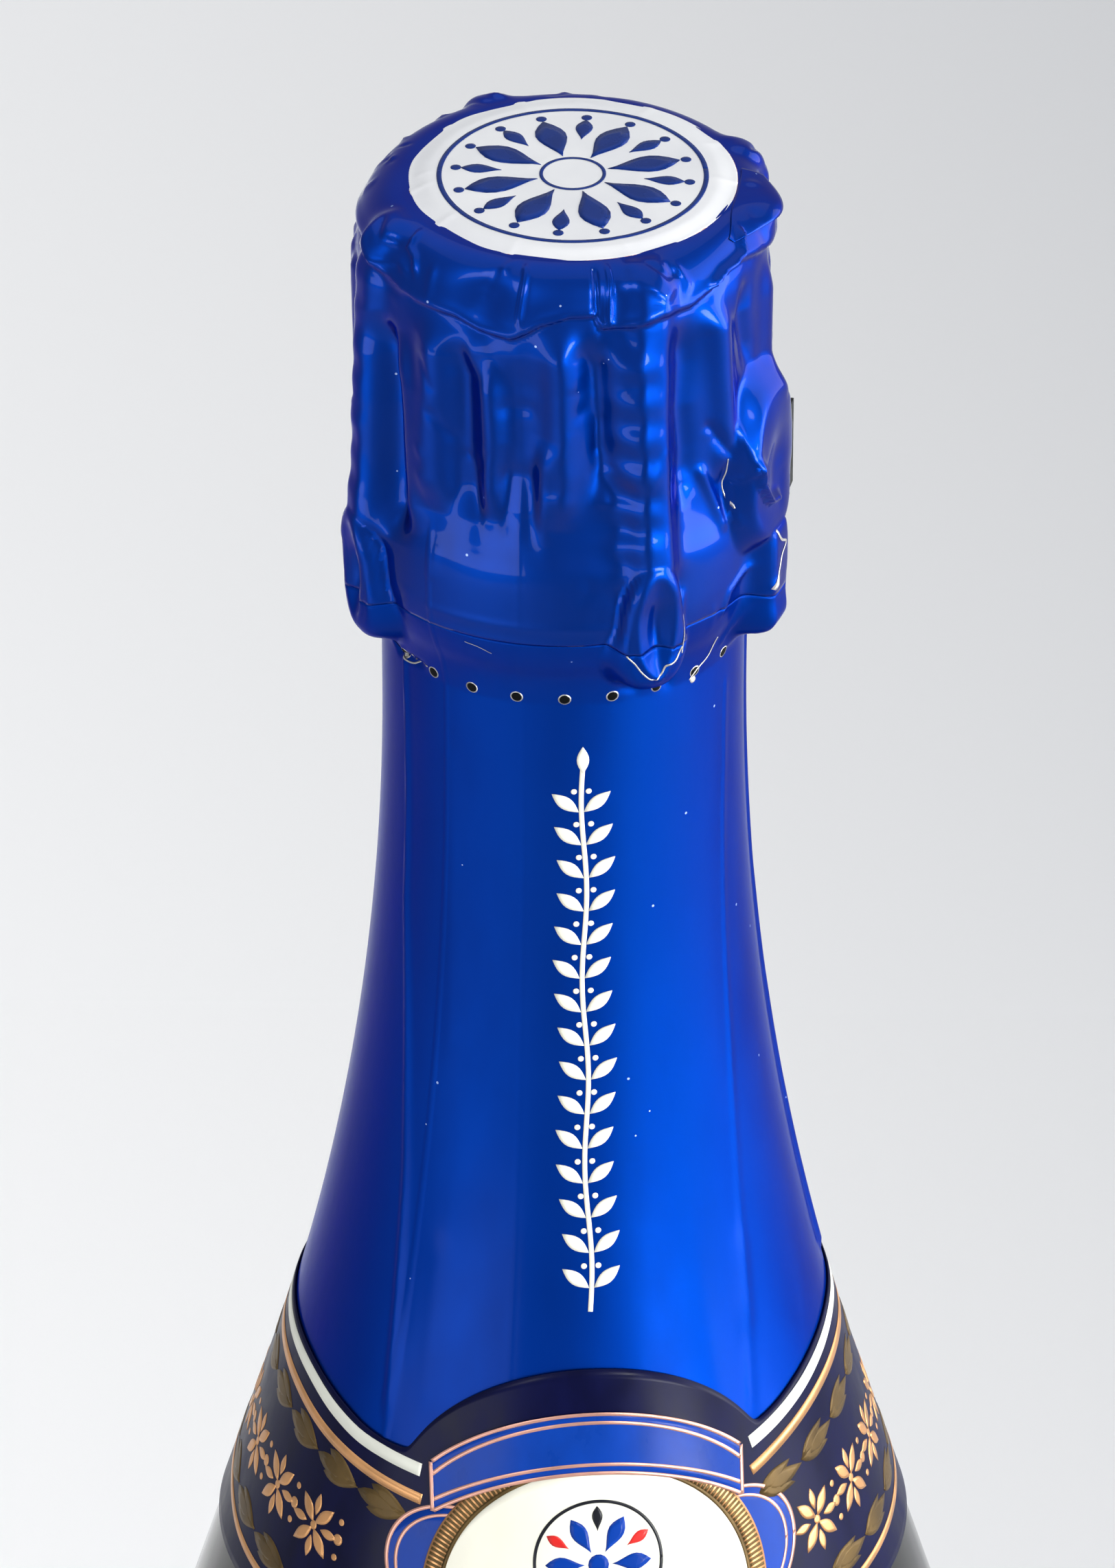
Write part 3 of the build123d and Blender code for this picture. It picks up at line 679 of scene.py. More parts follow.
def shell(name, azimuths, alongs, wall, holes=()):
    """Closed thin shell of the creased foil, open at its lower end and, if it has one, its upper end."""
    columns, rows = len(azimuths), len(alongs)
    azimuth, along = np.meshgrid(azimuths, alongs)
    outer = foil_points(azimuth, along)
    inner = foil_points(azimuth[::2, ::2], along[::2, ::2], -wall)
    closed_top = alongs[0] >= crown_start + crown_radius - pole_margin
    faces = [tuple(f) for f in ring_grid_faces(rows, columns)]
    keep, outer = punch(azimuth, along, outer, faces, holes)
    faces = [f for f, kept in zip(faces, keep) if kept]
    base = rows * columns
    half_columns, half_rows = columns // 2, inner.shape[0]
    faces += [tuple(base + i for i in reversed(f)) for f in ring_grid_faces(half_rows, half_columns)]
    ends = [(rows - 1, half_rows - 1, False)]
    if not closed_top:
        ends.append((0, 0, True))
    for outer_row, inner_row, flip in ends:
        for column in range(half_columns):
            a = outer_row * columns + 2 * column
            b = a + 1
            c = outer_row * columns + (2 * column + 2) % columns
            d = base + inner_row * half_columns + column
            e = base + inner_row * half_columns + (column + 1) % half_columns
            strip = [(a, d, b), (b, d, e), (b, e, c)]
            faces += [tuple(reversed(f)) for f in strip] if flip else strip
    verts = np.concatenate([outer.reshape(-1, 3), inner.reshape(-1, 3)])
    piece = new_piece(name, verts, faces)
    for polygon in piece.data.polygons[len(faces) - 3 * half_columns * len(ends):]:
        polygon.use_smooth = False
    weld(piece)
    return piece


print("a skin that starts within", pole_margin, "mm of the crown's middle is closed there")

# %% [markdown]
# Finishes come next. A small builder makes a Principled material and lets the rest of the lesson add
# noise, bands and masks to it, and a second one adds a node and fills in its plain values.

# %% Material helpers


def new_material(name, roughness, metallic=0.0, coat=0.0, coat_roughness=0.03, ior=1.5):
    """Principled material and its node tree."""
    material = bpy.data.materials.new(name)
    material.use_nodes = True
    tree = material.node_tree
    shader = tree.nodes["Principled BSDF"]
    shader.inputs["Roughness"].default_value = roughness
    shader.inputs["Metallic"].default_value = metallic
    shader.inputs["Coat Weight"].default_value = coat
    shader.inputs["Coat Roughness"].default_value = coat_roughness
    shader.inputs["IOR"].default_value = ior
    return material, tree, shader


def node(tree, kind, values=None, **properties):
    """Adds a node, sets its properties and its plain input values."""
    made = tree.nodes.new(kind)
    for key, value in properties.items():
        setattr(made, key, value)
    for key, value in (values or {}).items():
        made.inputs[key].default_value = value
    return made


def srgb(red, green, blue):
    """Linear colour from the 0 to 255 numbers of a display."""
    parts = np.array([red, green, blue]) / 255
    linear = np.where(parts <= 0.04045, parts / 12.92, ((parts + 0.055) / 1.055) ** 2.4)
    return tuple(float(x) for x in linear)


print("display blue 0,60,215 is linear", [round(x, 3) for x in srgb(0, 60, 215)])

# %% [markdown]
# Every pattern reads Object coordinates, in metres on the real piece, so a grain of half a millimetre
# is half a millimetre from any side. A noise feeds a colour ramp, a range for the roughness or a fine
# bump, and bumps stack up, the coarse over the fine.

# %% Patterns for the finishes


def noise_at(tree, scale, detail=4.0, stretch=(1, 1, 1)):
    """Noise on Object coordinates, in patches of about one over the scale, in metres."""
    place = node(tree, "ShaderNodeTexCoord")
    mapping = node(tree, "ShaderNodeMapping", {"Scale": stretch})
    grain = node(tree, "ShaderNodeTexNoise", {"Scale": scale, "Detail": detail})
    tree.links.new(place.outputs["Object"], mapping.inputs["Vector"])
    tree.links.new(mapping.outputs["Vector"], grain.inputs["Vector"])
    return grain.outputs["Fac"]


def cells_at(tree, scale):
    """Voronoi cells on Object coordinates, about one over the scale wide, in metres."""
    place = node(tree, "ShaderNodeTexCoord")
    cells = node(tree, "ShaderNodeTexVoronoi", {"Scale": scale})
    tree.links.new(place.outputs["Object"], cells.inputs["Vector"])
    return cells


def ramp(tree, source, stops):
    """Colour ramp between stops of (place, colour)."""
    made = node(tree, "ShaderNodeValToRGB")
    elements = made.color_ramp.elements
    while len(elements) < len(stops):
        elements.new(0.5)
    for element, (place, colour) in zip(elements, stops):
        element.position = place
        element.color = (*colour, 1)
    tree.links.new(source, made.inputs["Fac"])
    return made.outputs["Color"]


def span(tree, source, low, high, from_low=0.3, from_high=0.7):
    """Maps a source to a range."""
    made = node(
        tree,
        "ShaderNodeMapRange",
        {"From Min": from_low, "From Max": from_high, "To Min": low, "To Max": high},
    )
    tree.links.new(source, made.inputs["Value"])
    return made.outputs["Result"]


def add_bump(tree, shader, source, depth, strength=0.5):
    """Fine bump of a depth in metres, on top of any bump already there."""
    made = node(tree, "ShaderNodeBump", {"Strength": strength, "Distance": depth})
    tree.links.new(source, made.inputs["Height"])
    if shader.inputs["Normal"].is_linked:
        tree.links.new(shader.inputs["Normal"].links[0].from_socket, made.inputs["Normal"])
    tree.links.new(made.outputs["Normal"], shader.inputs["Normal"])
    return made


def paint(tree, shader, colour, gloss):
    """Links a colour and a roughness to the shader."""
    tree.links.new(colour, shader.inputs["Base Color"])
    tree.links.new(gloss, shader.inputs["Roughness"])


print("a scale of 1000 makes patches of about a millimetre")

# %% [markdown]
# The foil is bright aluminium under a clear blue lacquer. The metal gives the deep sheen that changes
# along every fold, and the lacquer's own thin coat gives the pale patches where a soft box shows.
# The hood was rubbed by hand and is glossy, while the neck keeps its satin finish.

# %% Blue foil
lacquer_tint = srgb(0, 130, 235)
lacquer_dark, lacquer_light = srgb(0, 44, 130), srgb(0, 52, 146)
worn_tint = srgb(150, 170, 215)
speck_scale = 420.0
speck_radius, speck_rarity = 0.05, 0.72
foil_grain = 0.00002


def lacquer_specks(tree, colour):
    """Lacquer colour with a few tiny worn specks, as rare cells of a fine Voronoi pattern."""
    cells = cells_at(tree, speck_scale)
    small = node(tree, "ShaderNodeMath", {1: speck_radius}, operation="LESS_THAN")
    few = node(tree, "ShaderNodeMath", {1: speck_rarity}, operation="GREATER_THAN")
    speck = node(tree, "ShaderNodeMath", operation="MULTIPLY")
    worn = node(tree, "ShaderNodeMix", {"B": (*worn_tint, 1)}, data_type="RGBA")
    tree.links.new(cells.outputs["Distance"], small.inputs[0])
    tree.links.new(cells.outputs["Color"], few.inputs[0])
    tree.links.new(small.outputs["Value"], speck.inputs[0])
    tree.links.new(few.outputs["Value"], speck.inputs[1])
    tree.links.new(speck.outputs["Value"], worn.inputs["Factor"])
    tree.links.new(colour, worn.inputs["A"])
    return worn.outputs["Result"]


def make_foil(name, roughness, coat, coat_ior, coat_roughness):
    """Blue lacquered foil: clouded lacquer, rubbed gloss and two sizes of grain."""
    material, tree, shader = new_material(name, roughness, 1.0, coat, coat_roughness)
    shader.inputs["Coat IOR"].default_value = coat_ior
    shader.inputs["Specular Tint"].default_value = (*lacquer_tint, 1)
    cloud = noise_at(tree, 55.0, 3.0, (1, 1, 0.45))
    colour = ramp(tree, cloud, ((0.25, lacquer_dark), (0.75, lacquer_light)))
    rub = noise_at(tree, 240.0, 5.0, (1, 1, 0.3))
    gloss = span(tree, rub, roughness - 0.05, roughness + 0.06)
    paint(tree, shader, lacquer_specks(tree, colour), gloss)
    add_bump(tree, shader, noise_at(tree, 1400.0, 3.0), foil_grain, 0.35)
    add_bump(tree, shader, noise_at(tree, 260.0, 2.0), foil_grain * 2.5, 0.3)
    return material


hood_foil = make_foil("hood_foil_blue", 0.4, coat=1.0, coat_ior=1.16, coat_roughness=0.05)
neck_foil = make_foil("neck_foil_blue", 0.5, coat=0.6, coat_ior=1.12, coat_roughness=0.16)
print("foils:", hood_foil.name, neck_foil.name)

# %% [markdown]
# Now the two foil pieces. The hood runs from its hidden middle under the disc to the tear line. Its
# rows are dense down the side, where the creases are, and few on the flat crown under the disc.

# %% Hood
foil_wall = 0.12
foil_columns = 440
foil_azimuths = np.arange(foil_columns) * 360 / foil_columns - 180
seam_gap = 0.01
crown_row_count, crown_row_end = 9, 1.0
hood_row_count, hood_row_start = 162, 0.8
crown_rows = np.linspace(crown_start + crown_radius, crown_start + crown_row_end, crown_row_count)
hood_rows = np.linspace(crown_start + hood_row_start, tear_line + seam_gap, hood_row_count)
hood = shell("hood_foil", foil_azimuths, np.concatenate([crown_rows, hood_rows]), foil_wall)
hood.data.materials.append(hood_foil)
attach(hood, "foil_hood")
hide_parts("foil_hood_skirt")
print(hood.name, len(hood.data.polygons), "faces")

# %% [markdown]
# The sleeve runs from the tear line to below the collar. It comes from the same surface, so the two
# edges meet with no step, as on the real foil, which is one piece until the tape is pulled. Its upper
# edge has a ring of small vent holes, and its rows spread out down the plain neck.

# %% Neck sleeve
vent_count = 24
vent_turn = -5.0
vent_z = 276.6
vent_radius = 0.47
vents = [(vent_turn + 360 * i / vent_count, vent_z, vent_radius) for i in range(vent_count)]
vents = [((a + 180) % 360 - 180, z, r) for a, z, r in vents]
sleeve_bottom = 189.0
relief_end = 268.0
sleeve_row_step = 0.25
low_row_count, low_row_spread = 77, 1.15
low_shares = np.linspace(0, 1, low_row_count) ** low_row_spread
sleeve_top_rows = np.arange(tear_line, relief_end, -sleeve_row_step)
sleeve_low_rows = relief_end - (relief_end - sleeve_bottom) * low_shares
sleeve_rows = np.concatenate([sleeve_top_rows, sleeve_low_rows])
sleeve = shell("neck_foil", foil_azimuths, sleeve_rows, foil_wall, vents)
sleeve.data.materials.append(neck_foil)
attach(sleeve, "bottle")
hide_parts("neck_foil_sleeve")
print(sleeve.name, len(sleeve.data.polygons), "faces and", vent_count, "vents")

# %% [markdown]
# The tear tape is a thin strip bonded inside the foil just above the edge that tears, and only its two
# edges print through, as faint lines. So it is a thin band between the two skins of the hood.

# %% Tear tape
tape_top, tape_low, tape_row_count = 284.7, 283.0, 8
tape_depth, tape_wall = 0.06, 0.04
tape_rows = np.linspace(tape_top, tape_low, tape_row_count)
tape_azimuth, tape_along = np.meshgrid(foil_azimuths, tape_rows)
tape_points = foil_points(tape_azimuth, tape_along, -tape_depth)
tape_faces = ring_grid_faces(len(tape_rows), len(foil_azimuths))
tape = new_piece("tear_tape", tape_points.reshape(-1, 3), tape_faces)
thicken(tape, tape_wall, offset=0.0)
tape.data.materials.append(hood_foil)
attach(tape, "foil_hood")
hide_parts("foil_tear_tape")
print("tape", round(float(tape_rows[0] - tape_rows[-1]), 1), "mm wide")

# %% [markdown]
# The print on the collar and the ornaments are thin layers on a curved surface. Each is drawn flat, in
# millimetres across and up, and then wrapped: a place function takes a flat point and a lift to where
# it belongs. The collar has two, one that runs round it and one as seen straight from the front.

# %% Places on the collar
collar_lift = 0.5
collar_reference = 26.0


def on_collar(u, v, lift):
    """Place on the collar from millimetres round at the reference radius, a height and a lift."""
    r = glass_radius(v) + collar_lift + lift
    return round_points(r, u / collar_reference, v)


def on_front(x, z, lift):
    """Place on the collar seen straight from the front."""
    r = glass_radius(z) + collar_lift + lift
    return np.stack([x + 0 * r, -np.sqrt(np.clip(r**2 - x**2, 0, None)), z + 0 * r], -1)


def from_azimuths(path):
    """Path in azimuth and height turned into a flat path on the collar."""
    return [(math.radians(a) * collar_reference, z) for a, z in path]


print("collar radius at its middle:", round(float(glass_radius(195.0)) + collar_lift, 2), "mm")

# %% [markdown]
# A line of print is a stripe that follows a path, and a filled shape is a patch between an upper and a
# lower path. Both are a few rows of quads, with a wall that Solidify adds outwards.

# %% Stripes and patches
print_wall = 0.02


def resample(path, count):
    """Evenly spaced points on a smooth line through a path."""
    path = np.asarray(path, float)
    steps = np.concatenate([[0], np.cumsum(np.hypot(*np.diff(path, axis=0).T))])
    t = np.linspace(0, steps[-1], count)
    return np.stack([smooth_curve(t, steps, path[:, 0]), smooth_curve(t, steps, path[:, 1])], -1)


def print_on(piece, finish, body="bottle", slot_name="collar_label_paper"):
    """Gives a print its ink and its body; the slot name is not used."""
    piece.data.materials.append(finish)
    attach(piece, body)
    return piece


def grid_piece(name, points, finish, **riding):
    """Thin sheet from a grid of points that runs down its rows and to the right along its columns."""
    rows, columns = points.shape[:2]
    piece = new_piece(name, points.reshape(-1, 3), ring_grid_faces(rows, columns, closed=False))
    thicken(piece, print_wall)
    return print_on(piece, finish, **riding)


def stripe(name, path, width, place, finish, lift=0.02, count=120, **riding):
    """Line of a width along a path."""
    centre = resample(path, count)
    along = np.gradient(centre, axis=0)
    along /= np.hypot(along[:, 0], along[:, 1])[:, None]
    normal = np.stack([-along[:, 1], along[:, 0]], -1)
    flat = np.stack([centre + normal * width * share for share in (0.5, 0.0, -0.5)])
    points = place(flat[..., 0], flat[..., 1], lift + 0 * flat[..., 0])
    return grid_piece(name, points, finish, **riding)


def patch(name, upper, lower, place, finish, lift=0.01, columns=80, rows=10, **riding):
    """Filled shape between an upper and a lower path."""
    top, bottom = resample(upper, columns), resample(lower, columns)
    t = np.linspace(0, 1, rows)[:, None, None]
    flat = top[None] * (1 - t) + bottom[None] * t
    points = place(flat[..., 0], flat[..., 1], lift + 0 * flat[..., 0])
    return grid_piece(name, points, finish, **riding)


def arc_path(centre_x, centre_z, radius, start, end, count=24):
    """Part of a circle, by angles in degrees from the right, counter-clockwise."""
    angles = np.radians(np.linspace(start, end, count))
    return [(centre_x + radius * math.cos(a), centre_z + radius * math.sin(a)) for a in angles]


circle = [(math.cos(a), math.sin(a)) for a in np.linspace(0, 2 * math.pi, 73)]


def ring(name, radius, width, place, finish, centre=(0.0, 0.0), lift=0.02, **riding):
    """Closed round stripe."""
    path = [(centre[0] + radius * x, centre[1] + radius * y) for x, y in circle]
    return stripe(name, path, width, place, finish, lift=lift, count=181, **riding)


print("print stands", print_wall, "mm off the paper")

# %% [markdown]
# The collar is printed paper: navy, bronze-gold and a warm white, under a thin varnish. Paper is never
# quite flat in colour, so each ink carries a little fibre noise, and the bronze is a rough metal.

# %% Inks and papers
ink_gloss = 0.08
fibre_scale = 420.0
ink_grain = 0.000012


def make_ink(name, colour, roughness, metallic=0.0, coat=0.4, variation=0.12):
    """Printed ink with fibre noise in its colour, its gloss and its surface."""
    material, tree, shader = new_material(name, roughness, metallic, coat, 0.25)
    shader.inputs["Specular IOR Level"].default_value = ink_gloss
    dark = tuple(c * (1 - variation) for c in colour)
    light = tuple(min(1.0, c * (1 + variation)) for c in colour)
    fibre = noise_at(tree, fibre_scale, 6.0, (1, 1, 0.5))
    gloss = span(tree, fibre, roughness - 0.05, roughness + 0.08)
    paint(tree, shader, ramp(tree, fibre, ((0.3, dark), (0.7, light))), gloss)
    add_bump(tree, shader, noise_at(tree, 900.0, 4.0), ink_grain, 0.4)
    return material


navy_ink = make_ink("navy_ink", srgb(2, 5, 46), 0.34, coat=0.07, variation=0.25)
ribbon_ink = make_ink("ribbon_blue_ink", srgb(4, 56, 150), 0.3, coat=0.12)
bronze_ink = make_ink("bronze_ink", srgb(206, 153, 102), 0.38, metallic=0.85, coat=0.2)
rose_ink = make_ink("rose_bronze_ink", srgb(214, 160, 142), 0.34, metallic=0.8, coat=0.2)
leaf_ink = make_ink("dark_bronze_ink", srgb(90, 72, 42), 0.42, metallic=0.5, coat=0.1, variation=0.3)
warm_white = make_ink("warm_white_ink", srgb(232, 234, 222), 0.42, coat=0.2, variation=0.03)
cream_paper = make_ink("cream_paper", srgb(232, 230, 214), 0.45, coat=0.3, variation=0.03)
red_ink = make_ink("red_ink", srgb(206, 38, 34), 0.38)
collar_inks = (navy_ink, ribbon_ink, bronze_ink, rose_ink, leaf_ink, warm_white, cream_paper, red_ink)
print("inks:", [ink.name for ink in collar_inks])

# %% [markdown]
# Ornaments repeat a small raised pad many times: a leaf, a petal, a dot or a bar. Each is a low closed
# dome over a flat outline, and its edge is sunk a little so that it stands in the paper with no gap.

# %% Pads
pad_sink = 0.05
edge_share = 0.5
inner_share, inner_rise = 0.55, 0.95


def pad(name, outline, height):
    """Closed pad from a flat outline in millimetres, raised in the middle and sunk a little at its edge."""
    outline = np.asarray(outline, float)
    count = len(outline)
    low = np.c_[outline, np.full(count, -pad_sink)]
    edge = np.c_[outline, np.full(count, edge_share * height)]
    inner = np.c_[outline * inner_share, np.full(count, inner_rise * height)]
    verts = np.concatenate([[[0, 0, height]], inner, edge, low, [[0, 0, -pad_sink]]])
    last = len(verts) - 1
    faces = []
    for i in range(count):
        j = (i + 1) % count
        faces.append((0, 1 + i, 1 + j))
        for first in (1, 1 + count):
            faces.append((first + i, first + count + i, first + count + j, first + j))
        faces.append((last, 1 + 2 * count + j, 1 + 2 * count + i))
    return new_piece(name, verts, faces)


def leaf_outline(length, width, blunt=1.0, steps=9):
    """Pointed leaf from its stalk at the origin's left to its tip at the right, centred."""
    t = np.linspace(0, 1, steps)
    half = width / 2 * np.sin(math.pi * t**blunt)
    upper = [((x - 0.5) * length, y) for x, y in zip(t, half)]
    lower = [((x - 0.5) * length, -y) for x, y in zip(t, half)]
    return lower + upper[-2:0:-1]


def round_outline(radius, steps=14):
    """Circle, counter-clockwise."""
    turns = np.linspace(0, 2 * math.pi, steps, endpoint=False)
    return [(radius * math.cos(a), radius * math.sin(a)) for a in turns]


def pads_round(reach, turns, size, centre=(0.0, 0.0), outward=True):
    """Flat places round a centre, with pads that point outwards or, for round ones, all one way."""
    wide, high = reach if isinstance(reach, tuple) else (reach, reach)
    return [
        (
            centre[0] + wide * math.cos(a),
            centre[1] + high * math.sin(a),
            math.degrees(a) if outward else 0.0,
            size,
        )
        for a in np.radians(turns)
    ]


print("a leaf has", len(leaf_outline(1.0, 0.4)), "corners and a dot", len(round_outline(0.5)))

# %% [markdown]
# Geometry Nodes place the pads. Each pad has a point, which carries its turn and its size as
# attributes, and the tree instances the pad there, makes the copies real and gives them their finish.
# One tree serves every ornament, with the pad, its size and its finish as inputs.

# %% Tree that scatters pads


def scatter_tree(name):
    """Tree with inputs for the pad, its size and its finish."""
    tree = bpy.data.node_groups.new(name, "GeometryNodeTree")
    face = tree.interface
    face.new_socket("Geometry", in_out="INPUT", socket_type="NodeSocketGeometry")
    face.new_socket("Pad", in_out="INPUT", socket_type="NodeSocketObject")
    face.new_socket("Pad size", in_out="INPUT", socket_type="NodeSocketFloat")
    face.new_socket("Finish", in_out="INPUT", socket_type="NodeSocketMaterial")
    face.new_socket("Geometry", in_out="OUTPUT", socket_type="NodeSocketGeometry")
    came, goes = node(tree, "NodeGroupInput"), node(tree, "NodeGroupOutput")
    shape = node(tree, "GeometryNodeObjectInfo", {"As Instance": True})
    turn = node(tree, "GeometryNodeInputNamedAttribute", {"Name": "turn"}, data_type="FLOAT")
    size = node(tree, "GeometryNodeInputNamedAttribute", {"Name": "size"}, data_type="FLOAT")
    axis = node(tree, "ShaderNodeCombineXYZ")
    scale = node(tree, "ShaderNodeMath", operation="MULTIPLY")
    stand = node(tree, "GeometryNodeInstanceOnPoints")
    real = node(tree, "GeometryNodeRealizeInstances")
    dressed = node(tree, "GeometryNodeSetMaterial")
    link = tree.links.new
    link(came.outputs["Pad"], shape.inputs["Object"])
    link(turn.outputs["Attribute"], axis.inputs["Z"])
    link(size.outputs["Attribute"], scale.inputs[0])
    link(came.outputs["Pad size"], scale.inputs[1])
    link(came.outputs["Geometry"], stand.inputs["Points"])
    link(shape.outputs["Geometry"], stand.inputs["Instance"])
    link(axis.outputs["Vector"], stand.inputs["Rotation"])
    link(scale.outputs["Value"], stand.inputs["Scale"])
    link(stand.outputs["Instances"], real.inputs["Geometry"])
    link(real.outputs["Geometry"], dressed.inputs["Geometry"])
    link(came.outputs["Finish"], dressed.inputs["Material"])
    link(dressed.outputs["Geometry"], goes.inputs["Geometry"])
    return tree


ornament_tree = scatter_tree("pads_on_points")
print("inputs:", [s.name for s in ornament_tree.interface.items_tree if s.in_out == "INPUT"])

# %% [markdown]
# The realized pads are read back as a plain mesh while they are still flat, and the place function then
# wraps them on the bottle. A relief below 1 flattens the domes, because print hardly stands up.

# %% Scatter and wrap
pad_unit = 1.0


def scatter(name, places, shape, finish, place, relief=0.2, lift=0.02, **riding):
    """Pads at flat places (across, up, turn in degrees, size), wrapped by a place function."""
    places = np.asarray(places, float)
    mesh = bpy.data.meshes.new(name + "_points")
    mesh.from_pydata((np.c_[places[:, :2], np.zeros(len(places))] * MM).tolist(), [], [])
    for key, values in (("turn", np.radians(places[:, 2])), ("size", places[:, 3])):
        mesh.attributes.new(key, "FLOAT", "POINT").data.foreach_set("value", values.astype(np.float32))
    points = bpy.data.objects.new(name + "_points", mesh)
    bpy.context.scene.collection.objects.link(points)
    modifier = points.modifiers.new("pads", "NODES")
    modifier.node_group = ornament_tree
    inputs = {s.name: s.identifier for s in ornament_tree.interface.items_tree if s.in_out == "INPUT"}
    modifier[inputs["Pad"]] = shape
    modifier[inputs["Pad size"]] = pad_unit
    modifier[inputs["Finish"]] = finish
    bpy.context.view_layer.update()
    flat = bpy.data.meshes.new_from_object(points.evaluated_get(bpy.context.evaluated_depsgraph_get()))
    bpy.data.objects.remove(points)
    corners = np.array([v.co for v in flat.vertices]) / MM
    faces = [tuple(p.vertices) for p in flat.polygons]
    piece = new_piece(name, place(corners[:, 0], corners[:, 1], lift + relief * corners[:, 2]), faces)
    return print_on(piece, finish, **riding)


leaf_pad = pad("leaf_pad", leaf_outline(1.0, 0.4), 0.09)
slim_leaf_pad = pad("slim_leaf_pad", leaf_outline(1.0, 0.3, 0.8), 0.05)
petal_pad = pad("petal_pad", leaf_outline(1.0, 0.42, 1.35), 0.03)
dot_pad = pad("dot_pad", round_outline(0.5), 0.1)
bar_pad = pad("bar_pad", [(-0.5, -0.11), (0.5, -0.11), (0.5, 0.11), (-0.5, 0.11)], 0.06)
pad_shapes = [leaf_pad, slim_leaf_pad, petal_pad, dot_pad, bar_pad]
print("pads:", [p.name for p in pad_shapes])

# %% [markdown]
# The disc on the crown is a round piece of satin foil, lacquered silver white and laid over the blue
# one. It sags a little towards its edge and takes small radial creases where the hood was drawn in.

# %% Disc on the crown
disc_radius = 13.6
disc_shift = 0.8
disc_rise, disc_sag = 0.42, 0.0011
disc_edge_drop, disc_edge_start, disc_edge_length = 0.22, 11.8, 1.8
disc_wave = 0.03
disc_creases = (
    # two ends across and back from the disc's middle, width, depth
    ((-13.4, -1.0), (-10.3, 0.6), 0.3, 0.07), ((-12.6, 1.4), (-10.8, 2.0), 0.25, 0.05),
    ((-11.6, -6.6), (-9.2, -4.4), 0.3, 0.07), ((-6.5, -12.0), (-5.0, -9.2), 0.35, 0.06),
    ((3.5, -13.0), (2.4, -9.8), 0.35, 0.06), ((9.6, -9.4), (8.0, -7.0), 0.3, 0.07),
    ((13.2, -2.0), (9.9, -0.8), 0.35, 0.08), ((12.4, 4.6), (10.4, 4.2), 0.3, 0.07),
    ((7.5, 11.0), (6.0, 8.6), 0.35, 0.07), ((-3.2, 13.2), (-2.6, 10.2), 0.35, 0.06),
    ((-9.5, 9.4), (-7.2, 7.0), 0.35, 0.06), ((1.5, 12.6), (4.5, 10.6), 0.3, 0.05),
    ((-3.0, 2.0), (2.2, 4.8), 0.6, 0.03), ((4.0, -3.5), (7.0, 1.5), 0.6, 0.03),
    ((-7.0, -2.0), (-3.0, -5.0), 0.6, 0.03),
)


def on_disc(x, y, lift):
    """Place on the disc from millimetres to the right of and behind its middle."""
    x, y = np.asarray(x, float), np.asarray(y, float)
    out = np.hypot(x, y)
    edge = ease((out - disc_edge_start) / disc_edge_length)
    z = crown_z + disc_rise - disc_sag * np.clip(out, 0, 20) ** 2 - disc_edge_drop * edge
    z = z + disc_wave * np.sin(x * 0.55 + 1.0) * np.cos(y * 0.45)
    for (x0, y0), (x1, y1), width, depth in disc_creases:
        length_squared = (x1 - x0) ** 2 + (y1 - y0) ** 2
        t = np.clip(((x - x0) * (x1 - x0) + (y - y0) * (y1 - y0)) / length_squared, 0, 1)
        away = np.hypot(x - x0 - t * (x1 - x0), y - y0 - t * (y1 - y0))
        z = z + depth * np.exp(-((away / width) ** 2)) * (1 - t)
    return np.stack([x + disc_shift, y, z + crown_tilt * y + lift], -1)


disc_columns, disc_rows = 288, 90
disc_azimuths = np.arange(disc_columns) * 360 / disc_columns - 180
disc_rings = np.concatenate([np.linspace(0, disc_radius - 0.05, disc_rows), [disc_radius, disc_radius, 0]])
disc_lifts = np.concatenate([np.zeros(disc_rows), [-0.03, -0.12, -0.12]])
disc_angle = np.radians(disc_azimuths)[None]
disc_across = disc_rings[:, None] * np.sin(disc_angle)
disc_back = -disc_rings[:, None] * np.cos(disc_angle)
disc_points = on_disc(disc_across, disc_back, disc_lifts[:, None])
disc_faces = ring_grid_faces(len(disc_rings), len(disc_azimuths))
disc = new_piece("crown_disc", disc_points.reshape(-1, 3), disc_faces)
weld(disc)
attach(disc, "foil_hood")
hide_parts("foil_top_disc")
print("disc radius", disc_radius, "mm, shifted by", disc_shift, "mm")

# %% [markdown]
# The disc's lacquer is a soft white with a little mottle. It is only slightly metallic, so it stays
# pale where a mirror would show the dark of the room, and a fine grain keeps it satin.

# %% Finish of the disc
disc_foil, disc_tree, disc_shader = new_material("silver_white_foil", 0.4, 0.15, 0.2, 0.1)
mottle = noise_at(disc_tree, 130.0, 4.0)
disc_colour = ramp(disc_tree, mottle, ((0.3, srgb(232, 233, 236)), (0.7, srgb(242, 243, 244))))
disc_gloss = span(disc_tree, noise_at(disc_tree, 320.0), 0.34, 0.48)
paint(disc_tree, disc_shader, disc_colour, disc_gloss)
add_bump(disc_tree, disc_shader, noise_at(disc_tree, 1500.0, 3.0), foil_grain, 0.35)
disc.data.materials.append(disc_foil)
print("disc finish:", disc_foil.name)

# %% [markdown]
# A blue ring and a rosette are printed on the disc, and its cut edge shows a line of copper colour. The
# print uses the same rings and scattered petals as the collar, but they ride with the hood.

